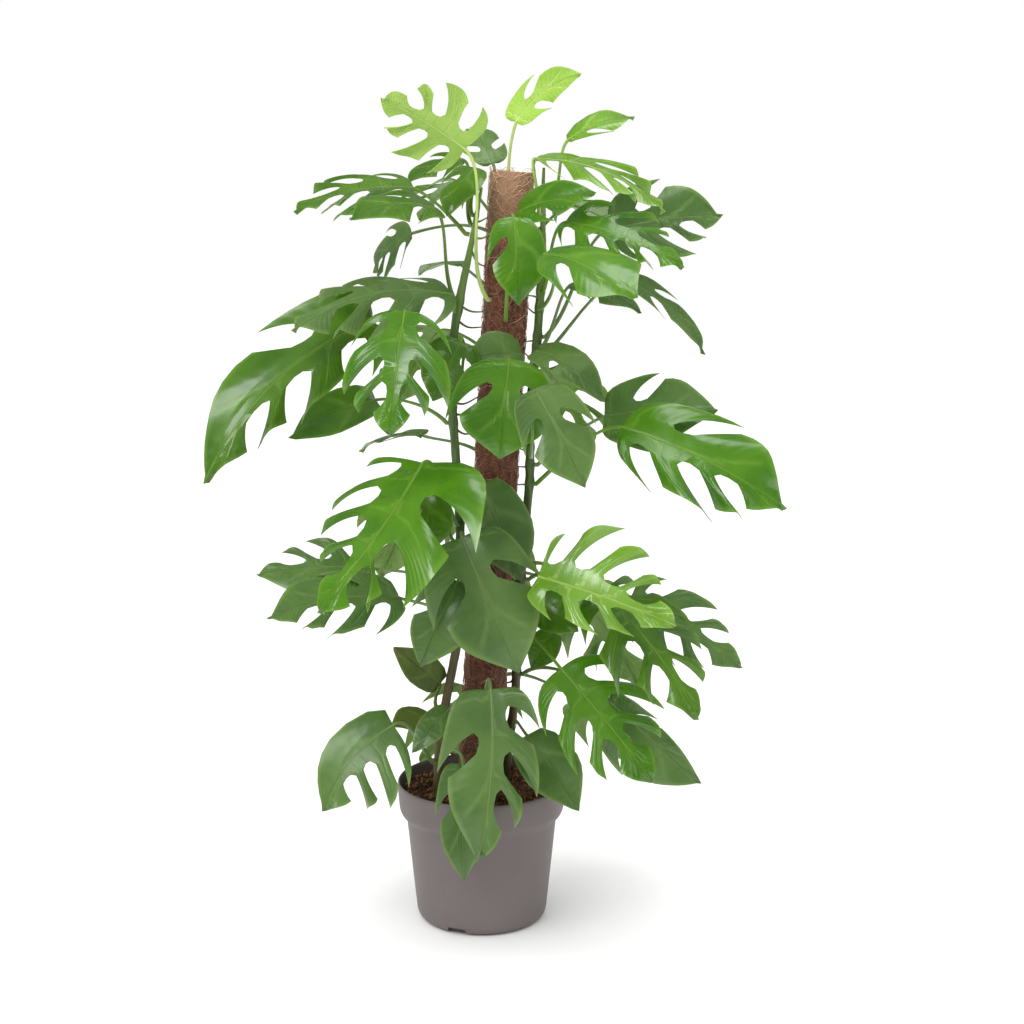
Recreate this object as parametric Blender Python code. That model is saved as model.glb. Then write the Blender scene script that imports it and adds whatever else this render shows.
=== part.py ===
"""Mini monstera climbing a coir pole, in a round nursery pot.

Every size is in millimetres and is turned into metres where a mesh is made. +Z is up, the side of
the plant that the photo shows looks along -Y, and the origin is the centre of the pot's flat base.
"""

import bpy
import numpy as np

MM = 0.001
GAP = 0.3

# Pot: outer half profile from the middle of the base to the top of the rim
POT_SIDES = 40
POT_FLOOR = 3.0
POT_OUTSIDE = (
    (62, 0), (68.5, 1.5), (73, 6), (74, 12), (84.6, 116), (84.3, 118.4), (85.6, 119.4),
    (90, 122), (92.8, 128), (94.2, 145), (95, 158), (93.4, 162),
)
POT_INSIDE = (
    (91.9, 159), (91.2, 143), (90, 129), (87.4, 124.4), (84, 121.6), (82, 117), (71.9, 14),
    (69, 6), (62, 3),
)
NOTCH_ANGLES = (247, 67)
NOTCH_WIDTH = 28
NOTCH_HEIGHT = 6.5
NOTCH_DEPTH = 12

# Soil
SOIL_TOP = 147
SOIL_SIDES = 28
SOIL_LUMP = 1.6

# Coir pole round a wooden stake, leaning to +X
POLE_FOOT = (-10, 5, 12)
POLE_TOP = (35, 5, 836)
POLE_RADIUS = 25
POLE_SIDES = 16
POLE_RINGS = 14
POLE_BORE = 460
STAKE_RADIUS = 8
STAKE_SIDES = 12
STAKE_FOOT = -6
STAKE_END = 455

# Climbing stems: points on the axis of each, from the root end in the soil to the growing tip
STEM_RADIUS = 5.4
STEM_NODE = 0.6
STEM_SIDES = 8
STEM_RINGS = 30
STEMS = {
    "left": (
        (-46, -30, 20), (-48, -28, 185), (-40, -30, 255), (-33, -31, 290), (-25, -33, 335),
        (-20, -34, 370), (-22, -32, 440), (-26, -28, 525), (-30, -24, 585), (-30, -21, 650),
        (-22, -20, 700), (-8, -24, 765), (2, -24, 820),
    ),
    "right": (
        (26, 24, 20), (28, 22, 160), (38, 17, 250), (42, 12, 320), (46, 6, 410), (50, 2, 460),
        (54, 0, 500), (54, 0, 570), (61, 4, 645), (65, 4, 700), (68, 8, 755), (68, 12, 806),
        (69, 16, 840),
    ),
    "back": (
        (0, 42, 20), (4, 42, 200), (8, 43, 400), (16, 44, 550), (26, 43, 700), (36, 42, 800),
    ),
}

# Leaf stalks
STALK_RINGS = 5
STALK_SIDES = 5
STALK_RADII = (2.6, 2.2, 1.7, 1.7, 2.0)
STALK_LEAD = 3.0
STALK_SUNK = 1.3
MIDRIB_AT = (0.12,)
MIDRIB_RADII = (1.0,)
MIDRIB_SUNK = (0.8,)

# Leaf blade, as shares of its length: for each side vein, where it leaves the midrib, how far along
# the leaf its end reaches and how far out
BLADE_THICKNESS = 0.8
VEIN = (0, .05, .14, .27, .42, .58, .74, .88, 1)
VEIN_ROOT = (0, .01, .04, .13, .26, .42, .60, .79, 1)
VEIN_END = (0, -.06, -.04, .17, .42, .64, .81, .925, 1)
VEIN_OUT = (0, .17, .34, .455, .47, .365, .215, .09, 0)
VEIN_OUT_WIDTH = .94
CUTS = {1: (), 2: (.42,), 3: (.27, .53), 4: (.20, .40, .60)}
CUT_SPREAD = .02
CUT_GAP = .046
CUT_ROOT = .26
LOBE_HOOK = .05
LOBE_CROWN = .05
LOBE_TWIST = .04
LOBE_COLUMNS = 2
LOBE_ROWS = (.04, .5, 1)
SMALL_LOBE_ROWS = (.04, 1)
SMALL_BLADE = 90
MIDRIB_PARTS = 5
CURVE_STEPS = 41

# Colours as seen, red, green and blue of 255, with a roughness
LOOKS = {
    "pot": ((118, 108, 106), .55),
    "soil": ((74, 52, 40), .95),
    "coir": ((126, 82, 58), .95),
    "stake": ((176, 140, 98), .8),
    "stem": ((72, 92, 46), .55),
    "leaf_young": ((170, 205, 100), .45),
    "leaf_light": ((128, 176, 66), .35),
    "leaf_bright": ((80, 148, 22), .3),
    "leaf_mid": ((58, 112, 30), .35),
    "leaf_matte": ((80, 125, 75), .5),
    "leaf_olive": ((96, 110, 52), .5),
}


def leaf(name, look, stem, height, knuckle, tip, faces, width, arch, fold, curl, lobes,
         sweep=.35, swing=0.0, via=None, cuts=None):
    """One leaf. It leaves the stem at this height, its blade hangs from the knuckle to the tip and
    its upper face looks towards faces. width scales the half widths, arch lifts the middle of the
    midrib, swing moves it sideways, fold opens the two halves in a V and curl bends them down.
    curl, lobes, width and cuts may differ on the two sides of the midrib."""
    return dict(name=name, look="leaf_" + look, stem=stem, height=height, knuckle=knuckle, tip=tip,
                faces=faces, width=width, arch=arch, fold=fold, curl=curl, lobes=lobes,
                sweep=sweep, swing=swing, via=via, cuts=cuts)


LEAVES = (
    leaf("leaf_left_01", "young", "pole", 700, (-15, -45, 860), (-100, -85, 910), (.2, .9, .6),
         1, .04, .35, (-.2, 1.6), (3, 3), sweep=.1),
    leaf("leaf_left_02", "mid", "left", 780, (-20, 20, 850), (-80, 10, 825), (-.1, -.5, 1),
         .7, .08, .2, 1.2, (2, 2)),
    leaf("leaf_left_03", "mid", "left", 790, (-5, -10, 840), (-35, -45, 790), (-.3, -.6, .7),
         .7, .1, .2, 1, (1, 2)),
    leaf("leaf_left_04", "mid", "left", 770, (-70, -25, 820), (-195, -40, 795), (0, -.4, 1),
         .85, .08, .25, 1.2, (3, 3), sweep=.6),
    leaf("leaf_left_05", "mid", "left", 700, (-45, -85, 800), (-130, -140, 790), (0, -.5, 1),
         .75, .1, .2, 1.5, (2, 2)),
    leaf("leaf_left_06", "matte", "back", 760, (-75, 50, 770), (-120, 90, 725), (-.4, -.6, .6),
         1, .1, .2, 1, (3, 2), sweep=.6),
    leaf("leaf_left_07", "matte", "back", 700, (-20, 60, 735), (-70, 110, 720), (0, 0, 1),
         .6, .1, .2, 1, (2, 2)),
    leaf("leaf_left_08", "matte", "left", 690, (-30, -50, 710), (-195, -90, 675), (0, -.4, 1),
         .8, .12, .12, 1.35, (3, 3), sweep=.5),
    leaf("leaf_left_09", "bright", "left", 655, (-75, -155, 700), (-90, -200, 580), (-.1, -1, .5),
         .9, .06, .2, .8, (3, 3), sweep=.6, via=((-90, -35, 650), (-90, -135, 655))),
    leaf("leaf_left_10", "mid", "left", 600, (-115, -20, 680), (-290, -90, 515), (-.2, -1, .6),
         .45, .06, .2, .8, (3, 2), sweep=.3, swing=.16),
    leaf("leaf_left_11", "mid", "left", 590, (-20, -50, 660), (-50, -80, 600), (-.1, -1, .3),
         .9, .06, .2, .8, (2, 2)),
    leaf("leaf_left_12", "mid", "left", 570, (-115, 20, 590), (-210, 0, 550), (0, -.7, .8),
         .55, .05, .2, .7, (1, 1)),
    leaf("leaf_left_13", "matte", "back", 520, (-65, 60, 545), (-140, 100, 520), (0, -.1, 1),
         .6, .08, .2, 1, (2, 2)),
    leaf("leaf_left_14", "bright", "left", 460, (-60, -110, 540), (-165, -190, 400), (-.5, -1, .6),
         .95, .08, .15, (.5, 1.8), (3, 4), sweep=.15, swing=-.16,
         cuts=((.38, .66), (.19, .4, .6))),
    leaf("leaf_left_15", "mid", "left", 440, (-55, -60, 500), (-55, -75, 435), (-.2, -1, .1),
         .8, .06, .2, .8, (1, 2)),
    leaf("leaf_left_16", "matte", "left", 330, (-25, -70, 405), (-65, -90, 315), (-.2, -1, .3),
         .7, .06, .2, .8, (1, 2)),
    leaf("leaf_left_17", "matte", "left", 380, (-120, 20, 400), (-250, 10, 395), (0, -.8, .7),
         .6, .08, .2, 1, (2, 3)),
    leaf("leaf_left_18", "matte", "left", 350, (-90, -15, 375), (-230, -70, 365), (0, -.5, .9),
         .7, .08, .2, (1.6, 1), (3, 2), sweep=.5),
    leaf("leaf_left_19", "olive", "left", 250, (-45, -30, 280), (-95, -60, 330), (-.2, -.9, .5),
         .5, .03, .2, .6, (1, 1)),
    leaf("leaf_left_20", "matte", "left", 225, (-35, -60, 260), (-75, -90, 220), (-.3, -1, .4),
         .5, .06, .2, .8, (1, 1)),
    leaf("leaf_left_21", "matte", "left", 190, (-95, -85, 250), (-170, -120, 165), (-.2, -1, .5),
         (1.15, .55), .05, .15, (.5, 1.2), (3, 1), sweep=.3, swing=.16),
    leaf("leaf_left_22", "olive", "left", 210, (-55, -10, 235), (-100, -40, 235), (-.3, -.6, .8),
         .8, .06, .2, .8, (1, 1)),
    leaf("leaf_left_23", "matte", "left", 200, (-20, -100, 210), (-20, -135, 90), (-.1, -1, .1),
         .47, .05, .2, .7, (1, 2), sweep=.5),
    leaf("leaf_front_01", "bright", "pole", 680, (35, -60, 790), (40, -90, 700), (.1, -1, .3),
         .65, .08, .2, .8, (1, 2), sweep=.6),
    leaf("leaf_front_02", "matte", "pole", 610, (45, -40, 645), (-15, -50, 640), (0, -.8, .6),
         .9, .1, .2, .8, (1, 1)),
    leaf("leaf_front_03", "bright", "pole", 560, (30, -90, 645), (20, -125, 545), (0, -1, .5),
         1.05, .08, .2, .8, (2, 2), sweep=.5, via=((20, -65, 575), (30, -105, 605))),
    leaf("leaf_front_04", "matte", "pole", 460, (0, -40, 505), (45, -55, 400), (.3, -1, .1),
         .6, .06, .2, .8, (1, 1)),
    leaf("leaf_front_05", "matte", "pole", 400, (-20, -80, 455), (40, -115, 315), (-.1, -1, .2),
         .8, .06, .2, (1.8, .5), (2, 2), sweep=.35),
    leaf("leaf_front_06", "matte", "pole", 260, (10, -105, 295), (-5, -155, 120), (0, -1, .25),
         .61, .05, .2, .7, (3, 2), sweep=.45, swing=-.08),
    leaf("leaf_right_01", "young", "back", 800, (40, 60, 890), (110, 40, 940), (-.3, -.8, .5),
         .55, -.04, .2, .3, (2, 2), swing=-.3),
    leaf("leaf_right_02", "light", "right", 800, (95, 35, 870), (170, 60, 895), (-.1, -.6, 1),
         .5, .08, .2, 1, (1, 2), sweep=.9),
    leaf("leaf_right_03", "light", "right", 790, (60, 5, 850), (195, -40, 795), (.2, -.3, 1),
         .62, .1, .2, 1.2, (3, 3), sweep=.8, via=((66, -32, 800), (50, -28, 856))),
    leaf("leaf_right_04", "matte", "back", 780, (15, 65, 845), (-10, 120, 885), (-.2, -.2, 1),
         .7, .08, .2, 1, (2, 2)),
    leaf("leaf_right_05", "bright", "right", 740, (40, -40, 795), (120, -75, 815), (0, -1, .6),
         .5, .08, .2, (1.5, .6), (1, 2), sweep=.5),
    leaf("leaf_right_06", "bright", "right", 710, (90, -50, 785), (210, -95, 740), (.1, -.8, .9),
         .7, .08, .2, 1, (3, 4), sweep=.5),
    leaf("leaf_right_07", "matte", "right", 660, (140, 10, 775), (265, 30, 790), (0, -1, .5),
         .75, .06, .2, .6, (2, 3), sweep=.5),
    leaf("leaf_right_08", "bright", "right", 690, (65, -115, 755), (155, -185, 715), (.2, -.8, .9),
         .8, .08, .2, (1.4, .8), (1, 2), sweep=.8, via=((75, -45, 700), (85, -100, 735))),
    leaf("leaf_right_09", "matte", "right", 640, (160, 0, 720), (245, 0, 640), (.4, -.5, .8),
         .4, .1, .3, 1, (2, 2), sweep=.6),
    leaf("leaf_right_10", "matte", "right", 650, (100, -30, 720), (170, -60, 690), (.2, -.6, .9),
         .5, .08, .2, 1, (2, 2)),
    leaf("leaf_right_11", "matte", "right", 600, (60, -50, 650), (130, -90, 600), (0, -.6, .8),
         .5, .14, .2, 1, (1, 2)),
    leaf("leaf_right_12", "matte", "right", 540, (55, -140, 620), (105, -180, 525), (.1, -1, .4),
         .7, .06, .2, .8, (2, 2), sweep=.5, via=((54, -90, 530), (50, -180, 555))),
    leaf("leaf_right_13", "matte", "right", 520, (135, -10, 575), (255, -40, 585), (0, -.9, .8),
         .75, .05, .2, (-.2, 1.2), (2, 2)),
    leaf("leaf_right_14", "bright", "right", 500, (150, -60, 570), (320, -110, 490), (.1, -.9, .7),
         .65, .08, .2, .8, (2, 3), sweep=.8),
    leaf("leaf_right_15", "light", "right", 410, (60, -115, 420), (200, -170, 380), (0, -1, .6),
         (.95, .55), .06, .15, (-.2, 1.4), (4, 3), sweep=.3, via=((75, -35, 420), (80, -100, 425))),
    leaf("leaf_right_16", "mid", "right", 370, (130, -95, 400), (225, -170, 280), (.3, -.8, .8),
         .7, .06, .2, (.6, 2), (4, 3)),
    leaf("leaf_right_17", "mid", "right", 350, (55, -50, 380), (105, -75, 350), (0, -1, .5),
         .7, .06, .2, .8, (1, 1)),
    leaf("leaf_right_18", "matte", "right", 390, (165, -20, 375), (285, -60, 305), (.1, -.9, .5),
         .62, .06, .15, .7, (3, 3)),
    leaf("leaf_right_19", "mid", "right", 320, (80, -15, 335), (55, -30, 295), (0, -1, .3),
         .7, .06, .2, .8, (1, 1)),
    leaf("leaf_right_20", "bright", "pole", 340, (85, -95, 315), (180, -150, 205), (0, -1, .6),
         .8, .06, .15, .7, (3, 3), sweep=.5),
    leaf("leaf_right_21", "matte", "right", 280, (140, -50, 265), (240, -80, 180), (-.2, -1, .3),
         (.3, .75), .06, .2, .8, (2, 2)),
    leaf("leaf_right_22", "matte", "right", 220, (50, -60, 230), (105, -110, 160), (.3, -1, .3),
         .62, .06, .2, .7, (1, 1)),
    leaf("leaf_back_01", "mid", "back", 770, (-20, 90, 825), (-70, 160, 780), (-.2, .6, 1),
         .75, .08, .2, 1, (3, 3)),
    leaf("leaf_back_02", "mid", "back", 740, (100, 80, 800), (185, 150, 745), (.3, .6, 1),
         .75, .08, .2, 1, (3, 3)),
    leaf("leaf_back_03", "mid", "back", 630, (-45, 90, 660), (-100, 150, 565), (-.3, 1, .6),
         .8, .08, .2, 1, (3, 3)),
    leaf("leaf_back_04", "mid", "back", 580, (75, 90, 615), (130, 150, 515), (.3, 1, .6),
         .8, .08, .2, 1, (3, 3)),
    leaf("leaf_back_05", "matte", "back", 480, (-45, 90, 490), (-120, 140, 360), (-.3, 1, .5),
         .8, .08, .2, 1, (3, 3)),
    leaf("leaf_back_06", "matte", "back", 420, (20, 90, 415), (-15, 150, 270), (-.1, 1, .5),
         .75, .08, .2, 1, (3, 3)),
    leaf("leaf_back_07", "matte", "back", 380, (105, 80, 360), (190, 140, 225), (.3, 1, .5),
         .8, .08, .2, 1, (3, 3)),
    leaf("leaf_back_08", "matte", "back", 290, (-5, 90, 240), (-40, 150, 80), (-.1, 1, .4),
         .8, .08, .2, 1, (3, 3)),
    leaf("leaf_back_09", "matte", "back", 260, (115, 80, 230), (215, 110, 125), (.2, 1, .4),
         .6, .08, .2, 1, (2, 2)),
)


def unit(vectors):
    vectors = np.asarray(vectors, float)
    return vectors / np.maximum(np.linalg.norm(vectors, axis=-1, keepdims=True), 1e-12)


def smooth_curve(knots, values, at):
    """Values at the places asked for, on a smooth curve through the knots: a cubic in each span
    whose slope at a knot is the mean of the slopes beside it."""
    knots, values, at = (np.asarray(given, float) for given in (knots, values, at))
    slope = np.gradient(values, knots)
    span = np.clip(np.searchsorted(knots, at, side="right") - 1, 0, len(knots) - 2)
    step = knots[span + 1] - knots[span]
    t = (at - knots[span]) / step
    return ((2 * t**3 - 3 * t**2 + 1) * values[span] + (t**3 - 2 * t**2 + t) * step * slope[span]
            + (3 * t**2 - 2 * t**3) * values[span + 1] + (t**3 - t**2) * step * slope[span + 1])


def smooth_path(points, count):
    """That many points along a smooth path through the given ones."""
    points = np.array(points, float)
    run = np.linalg.norm(np.diff(points, axis=0), axis=1)
    run = np.concatenate([[0], np.cumsum(run)])
    at = np.linspace(0, run[-1], count)
    return np.stack([smooth_curve(run, points[:, axis], at) for axis in range(3)], axis=-1)


def bezier(corners, count):
    t = np.linspace(0, 1, count)[:, None]
    a, b, c, d = (np.array(corner, float) for corner in corners)
    return (1 - t)**3 * a + 3 * t * (1 - t)**2 * b + 3 * t * t * (1 - t) * c + t**3 * d


def as_pair(value):
    return value if isinstance(value, tuple) else (value, value)


def ring_faces(rings, sides):
    """Triangles of a closed skin over rings of points, with one centre point at each end."""
    here = np.arange(sides)
    after = (here + 1) % sides
    first, last = rings * sides, rings * sides + 1
    faces = []
    for ring in range(rings - 1):
        low, high = ring * sides, (ring + 1) * sides
        faces.append(np.stack([low + here, low + after, high + after], -1))
        faces.append(np.stack([low + here, high + after, high + here], -1))
    top = (rings - 1) * sides
    faces.append(np.stack([np.full(sides, first), after, here], -1))
    faces.append(np.stack([np.full(sides, last), top + here, top + after], -1))
    return np.concatenate(faces)


def tube(path, radii, sides):
    """A round closed rod along a path, as points and triangles."""
    path = np.array(path, float)
    along = unit(np.gradient(path, axis=0))
    across = [unit(np.cross(along[0], (.3, 1, .2)))]
    for direction in along[1:]:
        across.append(unit(across[-1] - (across[-1] @ direction) * direction))
    across = np.array(across)
    third = np.cross(along, across)
    turn = np.arange(sides) / sides * 2 * np.pi
    radii = np.broadcast_to(np.array(radii, float), len(path))[:, None, None]
    rings = path[:, None] + radii * (np.cos(turn)[None, :, None] * across[:, None]
                                     + np.sin(turn)[None, :, None] * third[:, None])
    points = np.vstack([rings.reshape(-1, 3), path[0], path[-1]])
    return points, ring_faces(len(path), sides)


def turned(profile, sides, lump=None):
    """A profile of radius and height turned round Z. It starts and ends on the axis."""
    profile = np.array(profile, float)
    turn = np.arange(sides) / sides * 2 * np.pi
    radius, height = profile[1:-1, 0, None], profile[1:-1, 1, None]
    rings = np.stack([radius * np.cos(turn), radius * np.sin(turn), height + 0 * turn], axis=-1)
    if lump is not None:
        rings = lump(rings)
    ends = [(0, 0, profile[0, 1]), (0, 0, profile[-1, 1])]
    return np.vstack([rings.reshape(-1, 3), ends]), ring_faces(len(profile) - 2, sides)


class Blade:
    """The surface of one leaf blade. u runs out from the midrib and v along it, both as shares of
    the midrib's length."""

    def __init__(self, row, seed):
        knuckle, tip, faces = (np.array(row[key], float) for key in ("knuckle", "tip", "faces"))
        chord = tip - knuckle
        length = np.linalg.norm(chord)
        ahead = chord / length
        up = unit(faces - (faces @ ahead) * ahead)
        side = np.cross(ahead, up)
        middle = knuckle + chord / 2 + up * row["arch"] * 2 * length + side * row["swing"] * length
        t = np.linspace(0, 1, CURVE_STEPS)[:, None]
        self.line = (1 - t)**2 * knuckle + 2 * t * (1 - t) * middle + t**2 * tip
        run = np.linalg.norm(np.diff(self.line, axis=0), axis=1)
        self.run = np.concatenate([[0], np.cumsum(run)])
        self.length = self.run[-1]
        self.along = unit(np.gradient(self.line, axis=0))
        self.up = unit(up - (self.along @ up)[:, None] * self.along)
        self.width, self.curl = as_pair(row["width"]), as_pair(row["curl"])
        self.fold, self.sweep = row["fold"], row["sweep"]
        chance = np.random.default_rng(1000 + seed)
        self.cuts = []
        for half in range(2):
            cuts = np.array(CUTS[row["lobes"][half]])
            cuts = cuts + chance.uniform(-CUT_SPREAD, CUT_SPREAD, len(cuts))
            self.cuts.append(tuple(cuts) if row["cuts"] is None else row["cuts"][half])
        self.droop = chance.uniform(-.4, .7, 20)
        self.twist = chance.uniform(-.5, .5, 20)
        self.reach = chance.uniform(.93, 1.03, 20)

    def midrib(self, v):
        """Point, direction, upward normal and sideways direction of the midrib."""
        distance = np.asarray(v, float) * self.length
        inside = np.clip(distance, 0, self.length)

        def read(values):
            return np.stack([np.interp(inside, self.run, values[:, axis]) for axis in range(3)], -1)

        along, up = unit(read(self.along)), read(self.up)
        up = unit(up - (along * up).sum(-1, keepdims=True) * along)
        point = read(self.line) + (distance - inside)[..., None] * along
        return point, along, up, np.cross(along, up)

    def place(self, u, v, across, outward, lobe, side):
        """The point of the bent blade for a flat one. Each half is an arc that starts at the fold
        and turns by the curl for each share of the length."""
        curl = np.where(side > 0, self.curl[1], self.curl[0]) + outward * self.droop[lobe]
        curl = np.where(np.abs(curl) < 1e-6, 1e-6, curl)
        out = (np.sin(self.fold) - np.sin(self.fold - curl * np.abs(u))) / curl
        rise = (np.cos(self.fold - curl * np.abs(u)) - np.cos(self.fold)) / curl
        edge = 2 * across - 1
        rise = rise + outward * (LOBE_TWIST * self.twist[lobe] * edge - LOBE_CROWN * edge**2)
        point, _, up, beside = self.midrib(v)
        return (point + (side * out * self.length)[..., None] * beside
                + (rise * self.length)[..., None] * up)

    def lobe(self, side, order, across, outward):
        """Flat places of one lobe: across it from its base edge to its tip edge, and outward from
        the unbroken middle of the leaf to the lobe's end."""
        half = 0 if side < 0 else 1
        edges = (0, *self.cuts[half], 1)
        lobes = len(edges) - 1
        across, outward = np.meshgrid(across, outward, indexing="ij")
        rank = order + (0 if side > 0 else 9)
        if lobes == 1:
            end = np.ones_like(across)
        elif order == lobes - 1:
            end = .99 - .16 * (1 - across)**4
        elif order == 0:
            end = .97 * self.reach[rank] + LOBE_HOOK * across**4
        else:
            end = .96 * self.reach[rank] - .16 * (1 - across)**3 + LOBE_HOOK * across**4
        reach = CUT_ROOT + (end - CUT_ROOT) * outward
        gap = CUT_GAP * np.sqrt(np.clip(outward / .15, 0, 1)) * (1 + .6 * outward - outward**2)
        low = edges[order] + (gap if order > 0 else 0)
        high = edges[order + 1] - (gap if order < lobes - 1 else 0)
        vein = low + (high - low) * across
        root, tip = smooth_curve(VEIN, VEIN_ROOT, vein), smooth_curve(VEIN, VEIN_END, vein)
        out = smooth_curve(VEIN, VEIN_OUT, vein) * self.width[half] / VEIN_OUT_WIDTH
        bend = root + .25 * (tip - root)
        u = side * (2 * reach * (1 - reach) * .55 * out + reach**2 * out)
        v = (1 - reach)**2 * root + 2 * reach * (1 - reach) * bend + reach**2 * tip
        v = v + self.sweep * np.abs(u) * reach * np.clip(1.6 * (1 - v), 0, 1)
        return u, v, across, outward, np.full(u.shape, rank), np.full(u.shape, side)

    def surface(self):
        """Points and triangles of the blade's middle surface."""
        along = np.linspace(0, 1, MIDRIB_PARTS + 1)
        none = np.zeros(MIDRIB_PARTS + 1)
        parts = [(none, along, none + .5, none, none.astype(int), none + 1)]
        rows = SMALL_LOBE_ROWS if self.length < SMALL_BLADE else LOBE_ROWS
        triangles, count = [], MIDRIB_PARTS + 1
        for side in (1, -1):
            edge, edge_at = [], []
            for order in range(len(self.cuts[0 if side < 0 else 1]) + 1):
                part = self.lobe(side, order, np.linspace(0, 1, LOBE_COLUMNS + 1), rows)
                index = np.arange(count, count + part[0].size).reshape(part[0].shape)
                count += part[0].size
                parts.append(part)
                a, b, c, d = index[:-1, :-1], index[1:, :-1], index[1:, 1:], index[:-1, 1:]
                faces = np.concatenate([np.stack([a, b, c], -1).reshape(-1, 3),
                                        np.stack([a, c, d], -1).reshape(-1, 3)])
                triangles.append(faces if side < 0 else faces[:, ::-1])
                edge += index[:, 0].tolist()
                edge_at += part[1][:, 0].tolist()
            triangles.append(strip(list(range(MIDRIB_PARTS + 1)), along, edge, edge_at, side))
        u, v, across, outward, lobe, side = (
            np.concatenate([np.ravel(part[column]) for part in parts]) for column in range(6))
        triangles = np.concatenate(triangles)
        key = np.round(np.stack([u, v], -1) * 1e5).astype(np.int64)
        _, first, same = np.unique(key, axis=0, return_index=True, return_inverse=True)
        triangles = same.reshape(-1)[triangles]
        a, b, c = triangles.T
        triangles = triangles[(a != b) & (b != c) & (a != c)]
        points = self.place(u[first], v[first], across[first], outward[first],
                            lobe[first].astype(int), side[first])
        return points, triangles


def strip(inner, inner_at, outer, outer_at, side):
    """Triangles between the midrib and the row of points beside it, each taken in its order."""
    inner_at, outer_at = np.array(inner_at), np.array(outer_at)
    inner_at = (inner_at - inner_at[0]) / (inner_at[-1] - inner_at[0])
    outer_at = np.maximum.accumulate((outer_at - outer_at[0]) / (outer_at[-1] - outer_at[0]))
    triangles, i, j = [], 0, 0
    while i < len(inner) - 1 or j < len(outer) - 1:
        step_inner = i < len(inner) - 1 and (j == len(outer) - 1 or inner_at[i + 1] <= outer_at[j + 1])
        if step_inner:
            face = (inner[i], inner[i + 1], outer[j])
            i += 1
        else:
            face = (inner[i], outer[j + 1], outer[j])
            j += 1
        triangles.append(face if side < 0 else face[::-1])
    return np.array(triangles)


def thickened(points, triangles):
    """A closed solid round a surface, half of the blade's thickness to each side of it."""
    normal = np.zeros_like(points)
    face = np.cross(points[triangles[:, 1]] - points[triangles[:, 0]],
                    points[triangles[:, 2]] - points[triangles[:, 0]])
    for corner in range(3):
        np.add.at(normal, triangles[:, corner], face)
    normal = unit(normal) * BLADE_THICKNESS / 2
    edges = np.concatenate([triangles[:, [0, 1]], triangles[:, [1, 2]], triangles[:, [2, 0]]])
    _, kind, uses = np.unique(np.sort(edges, axis=1), axis=0, return_inverse=True, return_counts=True)
    rim = edges[uses[kind.reshape(-1)] == 1]
    a, b, under = rim[:, 0], rim[:, 1], len(points)
    walls = [np.stack([b, a, a + under], -1), np.stack([b, a + under, b + under], -1)]
    return (np.concatenate([points + normal, points - normal]),
            np.concatenate([triangles, triangles[:, ::-1] + under, *walls]))


def stem_axis(name):
    return smooth_path(STEMS[name], STEM_RINGS)


def stem_place(name, height):
    """Point and direction of a stem or of the pole at a height."""
    if name == "pole":
        foot, top = np.array(POLE_FOOT, float), np.array(POLE_TOP, float)
        share = (height - foot[2]) / (top[2] - foot[2])
        return foot + (top - foot) * share, unit(top - foot)
    axis = stem_axis(name)
    ring = int(np.clip(np.searchsorted(axis[:, 2], height), 1, len(axis) - 1))
    low, high = axis[ring - 1], axis[ring]
    share = (height - low[2]) / (high[2] - low[2])
    return low + (high - low) * share, unit(high - low)


def way_out(solid, origins, direction):
    """The furthest that rays from these places inside a closed solid run until they are outside."""
    points, faces = solid
    corner = points[faces[:, 0]]
    first, second = points[faces[:, 1]] - corner, points[faces[:, 2]] - corner
    across = np.cross(direction, second)
    size = (first * across).sum(-1)
    size = np.where(np.abs(size) < 1e-9, 1e-9, size)
    furthest = 0.0
    for origin in origins:
        apart = origin - corner
        a = (apart * across).sum(-1) / size
        turned_apart = np.cross(apart, first)
        b = turned_apart @ direction / size
        distance = (second * turned_apart).sum(-1) / size
        hit = distance[(a >= 0) & (b >= 0) & (a + b <= 1) & (distance > 0)]
        furthest = max(furthest, hit.max(initial=0.0))
    return furthest


def stem_solid(name):
    """A stem, thicker in a ring at each height where a leaf grows and tapered at its tip."""
    axis = stem_axis(name)
    heights = [row["height"] for row in LEAVES if row["stem"] == name]
    swell = np.zeros(len(axis))
    for height in heights:
        swell = np.maximum(swell, np.exp(-((axis[:, 2] - height) / 14)**2))
    share = np.linspace(0, 1, len(axis))
    taper = np.interp(share, (0, .9, 1), (1, .95, .5))
    return tube(axis, (STEM_RADIUS + STEM_NODE * swell) * taper, STEM_SIDES)


def stalk_solid(row, blade):
    """The leaf's stalk. It leaves the stem squarely, bends up to the knuckle and runs on under the
    blade as the thick first part of the midrib."""
    centre, axis = stem_place(row["stem"], row["height"])
    knuckle = blade.line[0] - blade.up[0] * STALK_SUNK
    away = knuckle - centre
    away = unit(away - (away @ axis) * axis)
    grown_on = pole_solid() if row["stem"] == "pole" else stem_solid(row["stem"])
    beside = np.cross(axis, away) * STALK_RADII[0]
    inside = [centre, centre + beside, centre - beside, centre + axis * STALK_RADII[0],
              centre - axis * STALK_RADII[0]]
    radius = way_out(grown_on, inside, away)
    fused = row["stem"] == "back" and row["name"].startswith("leaf_back")
    start = centre + away * (radius - STALK_LEAD if fused else radius + GAP)
    lead = centre + away * (radius + STALK_LEAD)
    reach = np.linalg.norm(knuckle - lead)
    up = np.array((0, 0, 1.0))
    first = lead + (away + up) * reach * .25
    second = knuckle - blade.along[0] * reach * .25 - blade.up[0] * reach * .12 + up * reach * .05
    if row["via"]:
        first, second = (np.array(point, float) for point in row["via"])
    points, _, rise, _ = blade.midrib(MIDRIB_AT)
    under = points - rise * np.array(MIDRIB_SUNK)[:, None]
    path = np.vstack([start, bezier((lead, first, second, knuckle), STALK_RINGS), under])
    return tube(path, (*STALK_RADII[:1], *STALK_RADII, *MIDRIB_RADII), STALK_SIDES)


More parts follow.
